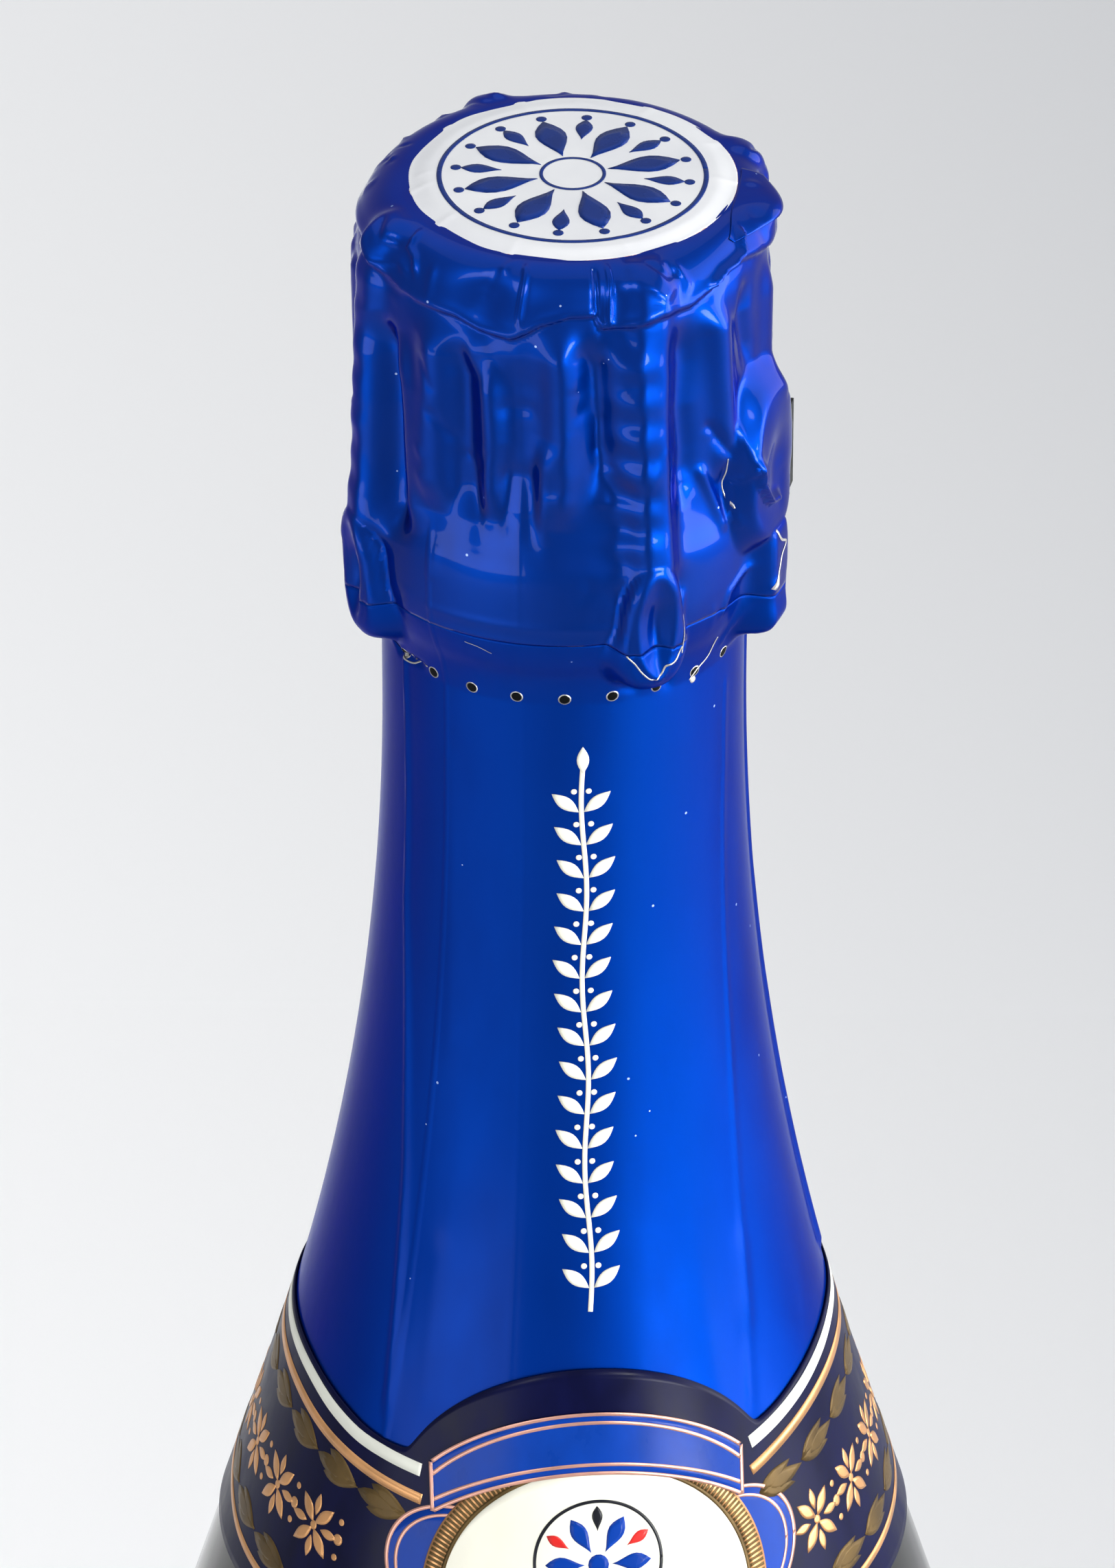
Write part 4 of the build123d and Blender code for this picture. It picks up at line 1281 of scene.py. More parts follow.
# %% Rings and rosette on the disc
disc_blue = make_ink("pressed_blue_ink", srgb(8, 46, 124), 0.26, metallic=0.3, coat=0.15)
edge_copper = make_ink("cut_edge_copper", srgb(176, 120, 96), 0.4, metallic=0.7)
on_crown = {"body": "foil_hood", "slot_name": "hood_disc"}
ring_radius, ring_width = 11.0, 0.42
inner_ring_radius, inner_ring_width = 2.6, 0.3
cut_edge_inset, cut_edge_width = 0.04, 0.1
petal_reach, petal_size = 6.1, 6.2
small_petal_reach, small_petal_size = 7.6, 3.4
dot_reach, dot_size = 9.7, 0.9
petal_step, petal_turn = 45, 10
petal_turns = np.arange(petal_turn, petal_turn + 360, petal_step)
dot_turns = np.arange(petal_turn, petal_turn + 360, petal_step / 2)
ring("disc_ring", ring_radius, ring_width, on_disc, disc_blue, **on_crown)
ring("disc_inner_ring", inner_ring_radius, inner_ring_width, on_disc, disc_blue, **on_crown)
cut_radius = disc_radius - cut_edge_inset
ring("disc_cut_edge", cut_radius, cut_edge_width, on_disc, edge_copper, lift=-cut_edge_inset, **on_crown)
petals = pads_round(petal_reach, petal_turns, petal_size)
small_petals = pads_round(small_petal_reach, petal_turns + petal_step / 2, small_petal_size)
dots = pads_round(dot_reach, dot_turns, dot_size, outward=False)
scatter("disc_petals", petals, petal_pad, disc_blue, on_disc, relief=0.4, **on_crown)
scatter("disc_small_petals", small_petals, petal_pad, disc_blue, on_disc, relief=0.4, **on_crown)
scatter("disc_dots", dots, dot_pad, disc_blue, on_disc, **on_crown)
print("rosette of", len(petals), "large and", len(small_petals), "small petals")

# %% [markdown]
# The collar itself is one piece of paper cut with an arch and a round front. Its top edge dips a little
# in front, so its outline is a function of the azimuth and not a straight band. Where the band meets
# the arch, a soft maximum of the two rounds the notch.

# %% Collar paper
collar_top_places = (
    (-180, 207.3), (-120, 207.4), (-91, 207.3), (-84, 207.1), (-72, 206.5), (-65, 205.9),
    (-56, 205.0), (-50, 204.4), (-44, 204.1), (-36, 204.2), (36, 204.9), (42, 205.3),
    (53, 206.5), (63, 207.5), (75, 208.3), (90, 208.5), (120, 208.2), (180, 207.3),
)
collar_low = 184.0
collar_wall = 0.15
circle_steps = 40
collar_rows = 40
notch_round = 0.5
notch_offset = 400
arch_centre, arch_radius = 196.45, 17.05
round_centre, round_radius = 194.0, 17.6


def circle_height(azimuth, centre, radius, sign):
    """Height at which a circle drawn on the front meets an azimuth, or the centre beyond its width."""
    z = np.full(azimuth.shape, centre + sign * radius)
    for _ in range(circle_steps):
        x = (glass_radius(z) + collar_lift) * np.sin(np.radians(azimuth))
        ahead = np.where(np.abs(azimuth) < 90, radius**2 - x**2, -1.0)
        z = 0.5 * z + 0.5 * (centre + sign * np.sqrt(np.clip(ahead, 0, None)))
    return z


front_reach, front_step, back_step = 60, 0.4, 1.5
collar_azimuths = np.concatenate(
    [
        np.arange(-180, -front_reach, back_step),
        np.arange(-front_reach, front_reach, front_step),
        np.arange(front_reach, 180, back_step),
    ]
)
band_top = smooth_curve(collar_azimuths, *zip(*collar_top_places))
arch_top = circle_height(collar_azimuths, arch_centre, arch_radius, 1)
blended = np.exp(band_top / notch_round - notch_offset) + np.exp(arch_top / notch_round - notch_offset)
collar_top = (np.log(blended) + notch_offset) * notch_round
collar_bottom = np.minimum(collar_low, circle_height(collar_azimuths, round_centre, round_radius, -1))
share = np.linspace(0, 1, collar_rows)[:, None]
collar_z = collar_top[None] * (1 - share) + collar_bottom[None] * share
collar_u = np.radians(collar_azimuths)[None] * collar_reference + 0 * collar_z
collar_points = on_collar(collar_u, collar_z, -collar_wall + 0 * collar_z)
collar = new_piece("collar_paper", collar_points.reshape(-1, 3), ring_grid_faces(*collar_z.shape))
thicken(collar, collar_wall)
collar.data.materials.append(navy_ink)
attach(collar, "bottle")
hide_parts("collar_label")
print("collar from", round(float(collar_bottom.min()), 1), "to", round(float(collar_top.max()), 1), "mm")

# %% [markdown]
# A white line and two gold ones run round the collar along its edges. They dip with the paper, so each
# is a few places of azimuth and height, round the back from one side of the front to the other.

# %% Lines round the collar
white_line = (
    (35.5, 203.6), (42, 204.2), (53, 205.3), (63, 206.3), (75, 207.2), (90, 207.4), (120, 207.1),
    (180, 206.2), (240, 206.3), (269, 206.1), (290, 205.2), (301, 204.1), (309, 203.4), (316, 203.1),
    (325, 202.8),
)
gold_line = (
    (34.5, 201.2), (44.5, 202.4), (60, 203.9), (72, 204.6), (90, 204.9), (120, 204.6), (180, 204.0),
    (240, 204.0), (284, 203.2), (303, 201.6), (315, 200.8), (326, 200.3),
)
low_gold_line = (
    (42, 186.3), (57, 186.7), (78, 187.4), (100, 188.2), (180, 188.5), (240, 188.5), (266, 188.2),
    (281, 186.8), (300, 185.9), (317, 185.5),
)
collar_lines = (
    # name, places, width, ink
    ("collar_white_line", white_line, 1.15, warm_white),
    ("collar_gold_line", gold_line, 0.95, bronze_ink),
    ("collar_low_gold_line", low_gold_line, 0.7, bronze_ink),
)
for name, places, width, ink in collar_lines:
    stripe(name, from_azimuths(places), width, on_collar, ink, count=400)
print(len(collar_lines), "lines round the collar")

# %% [markdown]
# The perforation is a ring of small round holes, with the dark glass behind them. Round each is a thin
# pale ring, partly the punch's burr of bare metal and partly a painted highlight on the hole's edge, and a
# black pad of painted shade lies at the bottom of each hole.

# %% Perforation
# Bare metal ink: real for the cracks and flakes, and on the burr rings it also paints a highlight.
bare_metal_and_highlight = make_ink("bare_foil_edge", srgb(186, 184, 180), 0.38, metallic=0.8, coat=0.0, variation=0.3)
# Black ink of painted shade, for the bottoms of the holes and for the torn gap.
painted_shade_black = make_ink("painted_shade_black", srgb(3, 4, 5), 0.6, coat=0.0)
burr_highlight_width, back_gap = 0.07, 0.03
burr_turn_step = 7.0


def foil_path(places):
    """Path in azimuth and height turned into a flat path in millimetres round the neck."""
    return [(math.radians(a) * neck_radius, h) for a, h in places]


def on_foil(u, v, lift):
    """Place on the creased foil, from millimetres round at the neck's radius and a height."""
    azimuth = np.degrees(np.asarray(u, float) / neck_radius)
    return foil_points(azimuth, np.asarray(v, float), lift)


on_sleeve = {"body": "bottle", "slot_name": "neck_foil"}
on_hood = {"body": "foil_hood", "slot_name": "hood_foil"}
vent_path = foil_path((a, z) for a, z, _ in vents)
vent_places = [(*place, burr_turn_step * i, 1.0) for i, place in enumerate(vent_path)]
burr_pad = pad("burr_pad", round_outline(vent_radius + burr_highlight_width, 18), 0.02)
back_pad = pad("back_pad", round_outline(vent_radius - back_gap, 16), 0.02)
pad_shapes += [burr_pad, back_pad]
# Pale burr rings: bare metal, and a painted highlight on each hole's edge.
scatter("vent_burrs", vent_places, burr_pad, bare_metal_and_highlight, on_foil, relief=1.0, lift=0.0, **on_sleeve)
# Black pads: painted shade at the bottom of each hole, over the dark glass.
scatter("vent_holes", vent_places, back_pad, painted_shade_black, on_foil, relief=1.0, lift=0.014, **on_sleeve)
print(vent_count, "holes of radius", vent_radius, "mm")

# %% [markdown]
# Near the wires' feet the lacquer has cracked, and the bright metal shows as thin crooked lines. Each
# crack is a narrow stripe on the creased foil, and it rides with the hood or the sleeve, by its side of
# the tear line.

# %% Cracks in the lacquer
cracks = (
    # name, width, places of azimuth and height
    ("crack_front_eye", 0.1, (
        (10.5, 282.8), (12.5, 282.2), (14.8, 281.3), (17.5, 280.7),
        (19.5, 281.0), (21, 281.6), (23.2, 281.8), (25.6, 282.7),
    )),
    ("crack_eye_side", 0.07, ((25.5, 282.2), (26.6, 284.4), (27.0, 287.0))),
    ("crack_left", 0.13, ((-68, 276.4), (-63.8, 276.0), (-60, 276.2), (-57.4, 276.6), (-52.5, 276.9))),
    ("crack_band", 0.04, ((-34, 282.0), (-30, 281.8), (-26, 281.3))),
    ("crack_right", 0.16, ((38, 275.9), (41, 276.7), (45, 277.4), (48, 279.2))),
    ("crack_right_high", 0.2, (
        (60.5, 288.4), (62.5, 287.3), (65.5, 286.6), (62.8, 285.9), (61.5, 284.9), (58.5, 283.4),
    )),
    ("crack_right_crease", 0.08, ((45.2, 297.2), (45.8, 295.6), (45.4, 294.4), (47.0, 292.2))),
)
for name, width, places in cracks:
    riding = on_hood if places[0][1] > tear_line else on_sleeve
    stripe(name, foil_path(places), width, on_foil, bare_metal_and_highlight, lift=0.02, count=60, **riding)
flake_turns, flake_sizes = (30, 10), (0.62, 0.35)
flakes = np.c_[foil_path(((39.5, 275.8), (-60, 277.0))), flake_turns, flake_sizes]
scatter("bare_flakes", flakes, dot_pad, bare_metal_and_highlight, on_foil, relief=0.3, **on_sleeve)
print(len(cracks), "cracks and", len(flakes), "bare flakes")

# %% [markdown]
# At the left foot the foil has opened into a narrow gap, drawn as a black patch of painted shade, and
# on the right of the crown a tongue of foil is lapped over and stands off. Both are patches between an
# upper and a lower edge, and the tongue's place function lifts its free edge.

# %% Gap and lapped tongue
gap_upper = foil_path(((-80, 279.3), (-74, 278.9), (-70.5, 278.1), (-67.5, 276.3)))
gap_lower = foil_path(((-80, 279.2), (-75.5, 277.8), (-71.5, 276.9), (-67.6, 276.1)))
# The gap is a black patch of painted shade laid on the foil.
patch("torn_gap", gap_upper, gap_lower, on_foil, painted_shade_black, lift=0.03, columns=30, rows=6, **on_sleeve)
flap_top = foil_path(((52, 316.6), (64, 318.3), (78, 318.6), (92, 318.2)))
flap_foot = foil_path(((53, 316.1), (62, 315.6), (76, 315.1), (90, 316.4)))
flap_root, flap_depth = 318.8, 4.0
flap_start, flap_length = 54, 16
flap_stand = 0.85


def on_flap(u, v, lift):
    """Place on the lapped tongue of foil, which stands further off towards its free edge."""
    azimuth = np.degrees(np.asarray(u, float) / neck_radius)
    off = ease((flap_root - v) / flap_depth) * ease((azimuth - flap_start) / flap_length)
    return foil_points(azimuth, np.asarray(v, float), lift + flap_stand * off)


patch("hood_flap", flap_top, flap_foot, on_flap, hood_foil, lift=0.06, columns=50, rows=16, **on_hood)
print("tongue stands", flap_stand, "mm off")

# %% [markdown]
# In front, the collar carries a blue ribbon over a round cream field. Both are drawn as seen from the
# front. The ribbon's edges are parts of two circles, each edge has two thin bronze outlines, and the
# field's upper edge is hidden under the ribbon.

# %% Ribbon and round field
ribbon_half = 13.45
ribbon_top_centre, ribbon_top_radius = 191.0, 18.6
ribbon_low_centre, ribbon_low_radius = 182.9, 21.5
field_centre, field_radius = (0.4, 191.3), 13.6
line_width, line_inset = 0.3, 0.75
field_lift, field_line_lift = 0.06, 0.08
ribbon_lift, ribbon_line_lift = 0.12, 0.145


def across_arc(centre, radius, half, inset=0.0, count=31):
    """Upper part of a circle from left to right, between two sides."""
    x = np.linspace(-half, half, count)
    return [(a, centre + math.sqrt((radius - inset) ** 2 - a**2)) for a in x]


field_top = arc_path(*field_centre, field_radius, 180, 0, 41)
field_low = arc_path(*field_centre, field_radius, 180, 360, 41)
patch("round_field", field_top, field_low, on_front, cream_paper, lift=field_lift, rows=24)
round_edge = {"centre": field_centre, "lift": field_line_lift}
ring("round_field_edge", field_radius, line_width, on_front, leaf_ink, **round_edge)
ribbon_top = across_arc(ribbon_top_centre, ribbon_top_radius, ribbon_half)
ribbon_low = across_arc(ribbon_low_centre, ribbon_low_radius, ribbon_half)
patch("ribbon", ribbon_top, ribbon_low, on_front, ribbon_ink, lift=ribbon_lift)
ribbon_outline = {"place": on_front, "finish": rose_ink, "lift": ribbon_line_lift}
for edge, centre, radius, way in (
    ("top", ribbon_top_centre, ribbon_top_radius, 1),
    ("low", ribbon_low_centre, ribbon_low_radius, -1),
):
    for line, inset in (("outer", 0.0), ("inner", line_inset * way)):
        path = across_arc(centre, radius, ribbon_half - 0.1, inset)
        stripe(f"ribbon_{edge}_{line}_line", path, line_width, **ribbon_outline)
for side, x in (("left", -ribbon_half), ("right", ribbon_half)):
    high = ribbon_top_centre + math.sqrt(ribbon_top_radius**2 - x**2)
    low = ribbon_low_centre + math.sqrt(ribbon_low_radius**2 - x**2)
    stripe(f"ribbon_{side}_end", [(x, high), (x, low)], line_width, count=12, **ribbon_outline)
print("ribbon", 2 * ribbon_half, "mm wide over a field of radius", field_radius, "mm")

# %% [markdown]
# Beside the field, a lobe of the ribbon shows on each side, with the same bronze outlines, and a milled
# ring hugs the field just under the ribbon. The ring is a band of short bars, one for each mill mark.

# %% Lobes and milled ring
lobe_radius = 6.2
lobe_centres = {"left": (-11.2, 194.2), "right": (12.0, 194.2)}
for side, (x, z) in lobe_centres.items():
    lobe_top = arc_path(x, z, lobe_radius, 180, 0)
    lobe_foot = arc_path(x, z, lobe_radius, 180, 360)
    patch(f"lobe_{side}", lobe_top, lobe_foot, on_front, ribbon_ink, lift=0.005)
    for line, inset, width in (("outer", 0.0, line_width), ("inner", line_inset, 0.25)):
        name = f"lobe_{side}_{line}_line"
        ring(name, lobe_radius - inset, width, on_front, rose_ink, centre=(x, z), lift=0.028)
milled_out, milled_width = 0.75, 1.5
milled_radius = field_radius + milled_out
mark_step, mark_size = 1.75, 1.25
for side, start, end in (("left", 122, 176), ("right", 4, 58)):
    path = arc_path(*field_centre, milled_radius, start, end)
    stripe(f"milled_band_{side}", path, milled_width, on_front, bronze_ink, lift=0.055)
    marks = pads_round(milled_radius, np.arange(start + 1.0, end, mark_step), mark_size, field_centre)
    scatter(f"milled_marks_{side}", marks, bar_pad, leaf_ink, on_front, lift=0.08)
print("mill marks every", mark_step, "degrees")

# %% [markdown]
# The emblem on the field is a plain rosette in a dark ring: blue petals, with red and dark ones between
# them, round a blue middle.

# %% Emblem
emblem_centre, emblem_radius = (0.5, 196.4), 5.5
dark_ink = make_ink("dark_ink", srgb(16, 18, 26), 0.4)
ring("emblem_ring", emblem_radius, 0.28, on_front, dark_ink, centre=emblem_centre, lift=0.085)
emblem_petals = (
    # colour, first turn, step, reach, size, ink
    ("blue", 0, 60, 2.9, 3.4, ribbon_ink),
    ("red", 30, 120, 4.0, 2.2, red_ink),
    ("dark", 90, 120, 4.0, 2.2, dark_ink),
)
for colour, first, step, reach, size, finish in emblem_petals:
    places = pads_round(reach, np.arange(first, first + 360, step), size, emblem_centre)
    scatter(f"emblem_{colour}_petals", places, petal_pad, finish, on_front, lift=0.09)
scatter("emblem_middle", [(*emblem_centre, 0, 1.8)], dot_pad, ribbon_ink, on_front, lift=0.09)
print("emblem of 12 petals, radius", emblem_radius, "mm")

# %% [markdown]
# Between the gold lines run two rows of leaf sprigs, all the way round behind. They follow the same
# heights as the lines, so each row is a curve of height over azimuth, and each sprig turns with it.

# %% Sprigs round the collar
upper_row = (
    (38, 198.9), (51.5, 199.7), (64, 200.7), (78, 201.6), (100, 202.0), (180, 201.2),
    (260, 201.2), (282, 200.9), (296, 200.0), (309, 199.1), (322, 198.5),
)
lower_row = (
    (40, 188.6), (70, 189.2), (85, 189.9), (110, 190.6), (180, 190.6), (250, 190.4),
    (275, 189.2), (291, 188.4), (320, 188.2),
)
sprig_step = 12.5
sprig_leaves = (
    # along the row, up, turn in degrees, size
    (-0.9, 0.55, 14, 4.4),
    (0.0, 0.0, 0, 5.2),
    (-0.9, -0.55, -14, 4.4),
)


def row_height(row, azimuth):
    """Height of a row at an azimuth."""
    return float(smooth_curve(azimuth, *zip(*row)))


def sprigs(row, first, last, spread):
    """Leaves of a row of sprigs: three long leaves to a sprig, fanned a little along the row."""
    leaves = []
    for azimuth in np.arange(first, last, sprig_step):
        u, v = math.radians(azimuth) * collar_reference, row_height(row, azimuth)
        rise = row_height(row, min(azimuth + 2, last)) - row_height(row, max(azimuth - 2, first))
        slope = math.degrees(math.atan2(rise, math.radians(4) * collar_reference))
        way = 1 if azimuth < 180 else -1
        for along, up, turn, size in sprig_leaves:
            leaves.append((u + way * along, v + up * spread, slope + way * turn, size))
    return leaves


upper_leaves = sprigs(upper_row, 42, 323, 1.0)
lower_leaves = sprigs(lower_row, 42, 320, 0.8)
scatter("upper_sprigs", upper_leaves, slim_leaf_pad, leaf_ink, on_collar)
scatter("lower_sprigs", lower_leaves, slim_leaf_pad, leaf_ink, on_collar)
print(len(upper_leaves), "leaves above and", len(lower_leaves), "below")

# %% [markdown]
# Between the two rows of sprigs runs a band of larger blossoms, each of eight leaves round a dot, with
# three dots in a column between one blossom and the next.

# %% Blossoms round the collar
middle_row = (
    (40, 193.6), (70, 194.6), (90, 195.2), (180, 195.4), (260, 194.8), (285, 194.2), (320, 193.2),
)
blossom_first, blossom_last, blossom_step = 48, 316, 13.4
half_step = math.radians(blossom_step / 2) * collar_reference
outer_leaves = {"reach": (1.5, 1.7), "turns": (45, 135, 225, 315), "size": 2.7}
inner_leaves = {"reach": 1.9, "turns": (0, 90, 180, 270), "size": 2.0}
middle_dot = 0.8
dot_column = ((0.1, 1.0), (1.7, 0.6), (-1.5, 0.6))
blossoms, blossom_dots = [], []
for azimuth in np.arange(blossom_first, blossom_last, blossom_step):
    u, v = math.radians(azimuth) * collar_reference, row_height(middle_row, azimuth)
    for leaf_ring in (outer_leaves, inner_leaves):
        blossoms += pads_round(**leaf_ring, centre=(u, v))
    blossom_dots.append((u, v, 0, middle_dot))
    for up, size in dot_column:
        blossom_dots.append((u + half_step, v + up, 0, size))
scatter("collar_blossoms", blossoms, leaf_pad, bronze_ink, on_collar)
scatter("collar_dots", blossom_dots, dot_pad, bronze_ink, on_collar)
print(len(blossoms) // 8, "blossoms round the collar")

# %% [markdown]
# The neck carries one upright ornament in cream, stamped on the foil: a laurel stem with paired leaves
# and small berries, with a gentle sway.

# %% Laurel on the neck
laurel_low, laurel_high = 218.6, 270.0
laurel_azimuth = 1.0
sway, sway_turn = 0.22, 0.36
pair_step = 3.2
leaf_out, leaf_up, leaf_lean, leaf_size = 1.35, 0.85, 52, 2.85
berry_out, berry_up, berry_size = 0.62, 1.95, 0.52
stamp_cream = make_ink("stamp_cream", srgb(232, 230, 214), 0.5, coat=0.15, variation=0.05)


def on_neck(x, z, lift):
    """Place on the neck's foil from millimetres round from the laurel's line, a height and a lift."""
    r = glass_radius(z) + sleeve_lift + lift
    angle = math.radians(laurel_azimuth) + x / (glass_radius(z) + sleeve_lift)
    return round_points(r, angle, z)


def stem_x(z):
    """Gentle sway of the stem."""
    return sway * math.sin((z - laurel_low) * sway_turn)


stem = [(stem_x(z), z) for z in np.linspace(laurel_low, laurel_high, 40)]
stripe("laurel_stem", stem, 0.42, on_neck, stamp_cream, lift=0.03, count=160, **on_sleeve)
leaves, berries = [], []
for z in np.arange(laurel_low + 2.2, laurel_high - 1.6, pair_step):
    x = stem_x(z)
    for side in (-1, 1):
        leaves.append((x + side * leaf_out, z + leaf_up, 90 - side * leaf_lean, leaf_size))
        berries.append((x + side * berry_out, z + berry_up, 0, berry_size))
leaves.append((stem_x(laurel_high), laurel_high + 0.6, 90, 2.6))
scatter("laurel_leaves", leaves, leaf_pad, stamp_cream, on_neck, lift=0.03, relief=0.4, **on_sleeve)
scatter("laurel_berries", berries, dot_pad, stamp_cream, on_neck, lift=0.03, **on_sleeve)
print("laurel with", len(leaves), "leaves from", laurel_low, "to", laurel_high, "mm")

# %% [markdown]
# The glass, the wine, the cork, the tin cap, the wires, the tab and the two paper labels have their right
# shapes already, so they keep them and get finishes. The glass is a deep olive green, almost black
# where the wine stands behind it, with a fine orange-peel from the mould, and the wine is a pale gold.

# %% Glass and wine


def dress(node_name, material):
    """Gives a carried-over solid its finish."""
    slots = nodes[node_name].material_slots
    for material_slot in slots:
        material_slot.material = material
    print(node_name, "->", material.name, f"({len(slots)} slot)")


bottle_green, glass_tree, glass_shader = new_material("bottle_green_glass", 0.05, ior=1.52)
glass_shader.inputs["Transmission Weight"].default_value = 0.9
glass_cloud = noise_at(glass_tree, 26.0, 3.0)
glass_colour = ramp(glass_tree, glass_cloud, ((0.3, srgb(8, 12, 6)), (0.7, srgb(14, 18, 9))))
paint(glass_tree, glass_shader, glass_colour, span(glass_tree, noise_at(glass_tree, 160.0), 0.04, 0.1))
add_bump(glass_tree, glass_shader, noise_at(glass_tree, 300.0, 2.0), 0.00003, 0.25)
dress("glass_bottle", bottle_green)

wine_gold, wine_tree, wine_shader = new_material("wine_pale_gold", 0.0, ior=1.34)
wine_shader.inputs["Transmission Weight"].default_value = 0.95
wine_cloud = noise_at(wine_tree, 14.0, 2.0)
wine_colour = ramp(wine_tree, wine_cloud, ((0.3, srgb(222, 196, 110)), (0.7, srgb(234, 208, 128))))
paint(wine_tree, wine_shader, wine_colour, span(wine_tree, noise_at(wine_tree, 500.0), 0.0, 0.03))
dress("wine", wine_gold)

# %% [markdown]
# The cork's head and body are pressed from granules, and the two discs at the wine end are whole cork
# with wider growth bands. One maker does both, with a Voronoi pattern of the right size.

# %% Cork


def make_cork(name, grain, light, dark, depth):
    """Cork with grains or growth bands of a size given by one over the grain, in metres."""
    material, tree, shader = new_material(name, 0.75)
    cells = cells_at(tree, grain)
    spots = ramp(tree, cells.outputs["Color"], ((0.1, dark), (0.35, light)))
    paint(tree, shader, spots, span(tree, noise_at(tree, 700.0), 0.65, 0.85))
    add_bump(tree, shader, cells.outputs["Distance"], depth, 0.6)
    add_bump(tree, shader, noise_at(tree, 1600.0), depth * 0.4, 0.5)
    return material


granule_cork = make_cork("granule_cork", 520.0, srgb(206, 166, 118), srgb(128, 88, 54), 0.00012)
plank_cork = make_cork("plank_cork", 210.0, srgb(214, 172, 120), srgb(160, 112, 70), 0.00006)
dress("cork_body", granule_cork)
for cork_node in ("cork_disc_upper", "cork_disc_lower"):
    dress(cork_node, plank_cork)
print("corks:", granule_cork.name, plank_cork.name)

# %% [markdown]
# The cap is bright tinned sheet and the wires are galvanised, so they are duller and have a mottled
# spangle. The tab is black paper of the tear tape, with no gloss.

# %% Sheet, wire and tab


def make_metal(name, colour, roughness, grain, depth, spangle=0.1):
    """Bare sheet or wire with a slight mottle and drawing marks."""
    material, tree, shader = new_material(name, roughness, 1.0)
    dark = tuple(c * (1 - spangle) for c in colour)
    mottle = noise_at(tree, grain, 5.0)
    gloss = span(tree, mottle, roughness - 0.06, roughness + 0.1)
    paint(tree, shader, ramp(tree, mottle, ((0.35, dark), (0.65, colour))), gloss)
    add_bump(tree, shader, noise_at(tree, grain * 4, 3.0), depth, 0.4)
    return material


galvanised_wire = make_metal("galvanised_wire", srgb(176, 178, 180), 0.34, 900.0, 0.00001, 0.25)
tin_sheet = make_metal("tin_sheet", srgb(206, 206, 204), 0.24, 180.0, 0.00001)
dress("cage_cap_plate", tin_sheet)
wire_nodes = ["cage_top_ring", *(f"cage_leg_{i}" for i in (1, 2, 3, 4)), "cage_belt_wire", "cage_key"]
for wire_node in wire_nodes:
    dress(wire_node, galvanised_wire)

tab_black, tab_tree, tab_shader = new_material("black_tab", 0.42)
tab_shader.inputs["Specular IOR Level"].default_value = 0.2
tab_grain = noise_at(tab_tree, 500.0, 5.0)
tab_colour = ramp(tab_tree, tab_grain, ((0.3, srgb(8, 11, 11)), (0.7, srgb(18, 22, 21))))
paint(tab_tree, tab_shader, tab_colour, span(tab_tree, tab_grain, 0.34, 0.55))
add_bump(tab_tree, tab_shader, tab_grain, 0.00003, 0.4)
dress("tear_tab", tab_black)
print(len(wire_nodes), "wires and a tab dressed")

# %% [markdown]
# Two paper labels sit on the body, in the collar's colours, and both are edged with bronze lines. Their
# place functions measure round from a label's middle line, at the front and behind.

# %% Places and lines on a body label
label_paper = make_ink("label_paper", srgb(226, 222, 206), 0.5, coat=0.15, variation=0.03)
for label_node in ("front_label", "back_label"):
    dress(label_node, label_paper)
label_outside = 44.46
label_low = 34.0
label_line_lift, label_print_lift = 0.03, 0.06


def on_label(u, v, lift):
    """Place on a body label from millimetres round from its middle line and a height."""
    r = label_outside + lift
    return round_points(r, u / label_outside, v)


def on_back_label(u, v, lift):
    """The same, on the label behind."""
    return on_label(u + math.pi * label_outside, v, lift)


def frame_lines(name, half, low, high, inset, width, place, slot_name):
    """Rectangle of thin bronze lines inside a label's edge."""
    left, right, foot, top = -half + inset, half - inset, low + inset, high - inset
    sides = {
        "top": [(left, top), (right, top)],
        "low": [(left, foot), (right, foot)],
        "left": [(left, foot), (left, top)],
        "right": [(right, foot), (right, top)],
    }
    for side, path in sides.items():
        riding = {"slot_name": slot_name, "lift": label_line_lift}
        stripe(f"{name}_{side}", path, width, place, bronze_ink, count=60, **riding)


def navy_band(name, half, low, high, place, slot_name):
    """Navy band across a label."""
    upper, lower = [(-half, high), (half, high)], [(-half, low), (half, low)]
    patch(name, upper, lower, place, navy_ink, slot_name=slot_name)


def leaf_row(half, step, z, size):
    """Level row of leaves that point outwards, with none on the middle line."""
    return [(x, z, 0 if x > 0 else 180, size) for x in np.arange(-half, half + 1, step) if abs(x) > 1]


print("labels lie at a radius of", label_outside, "mm")

# %% [markdown]
# The front label is cream, with two frames of bronze lines, a wreath round a rosette and a navy foot
# with a row of leaves. The wreath's leaves stand in pairs that climb from its foot to its open top.

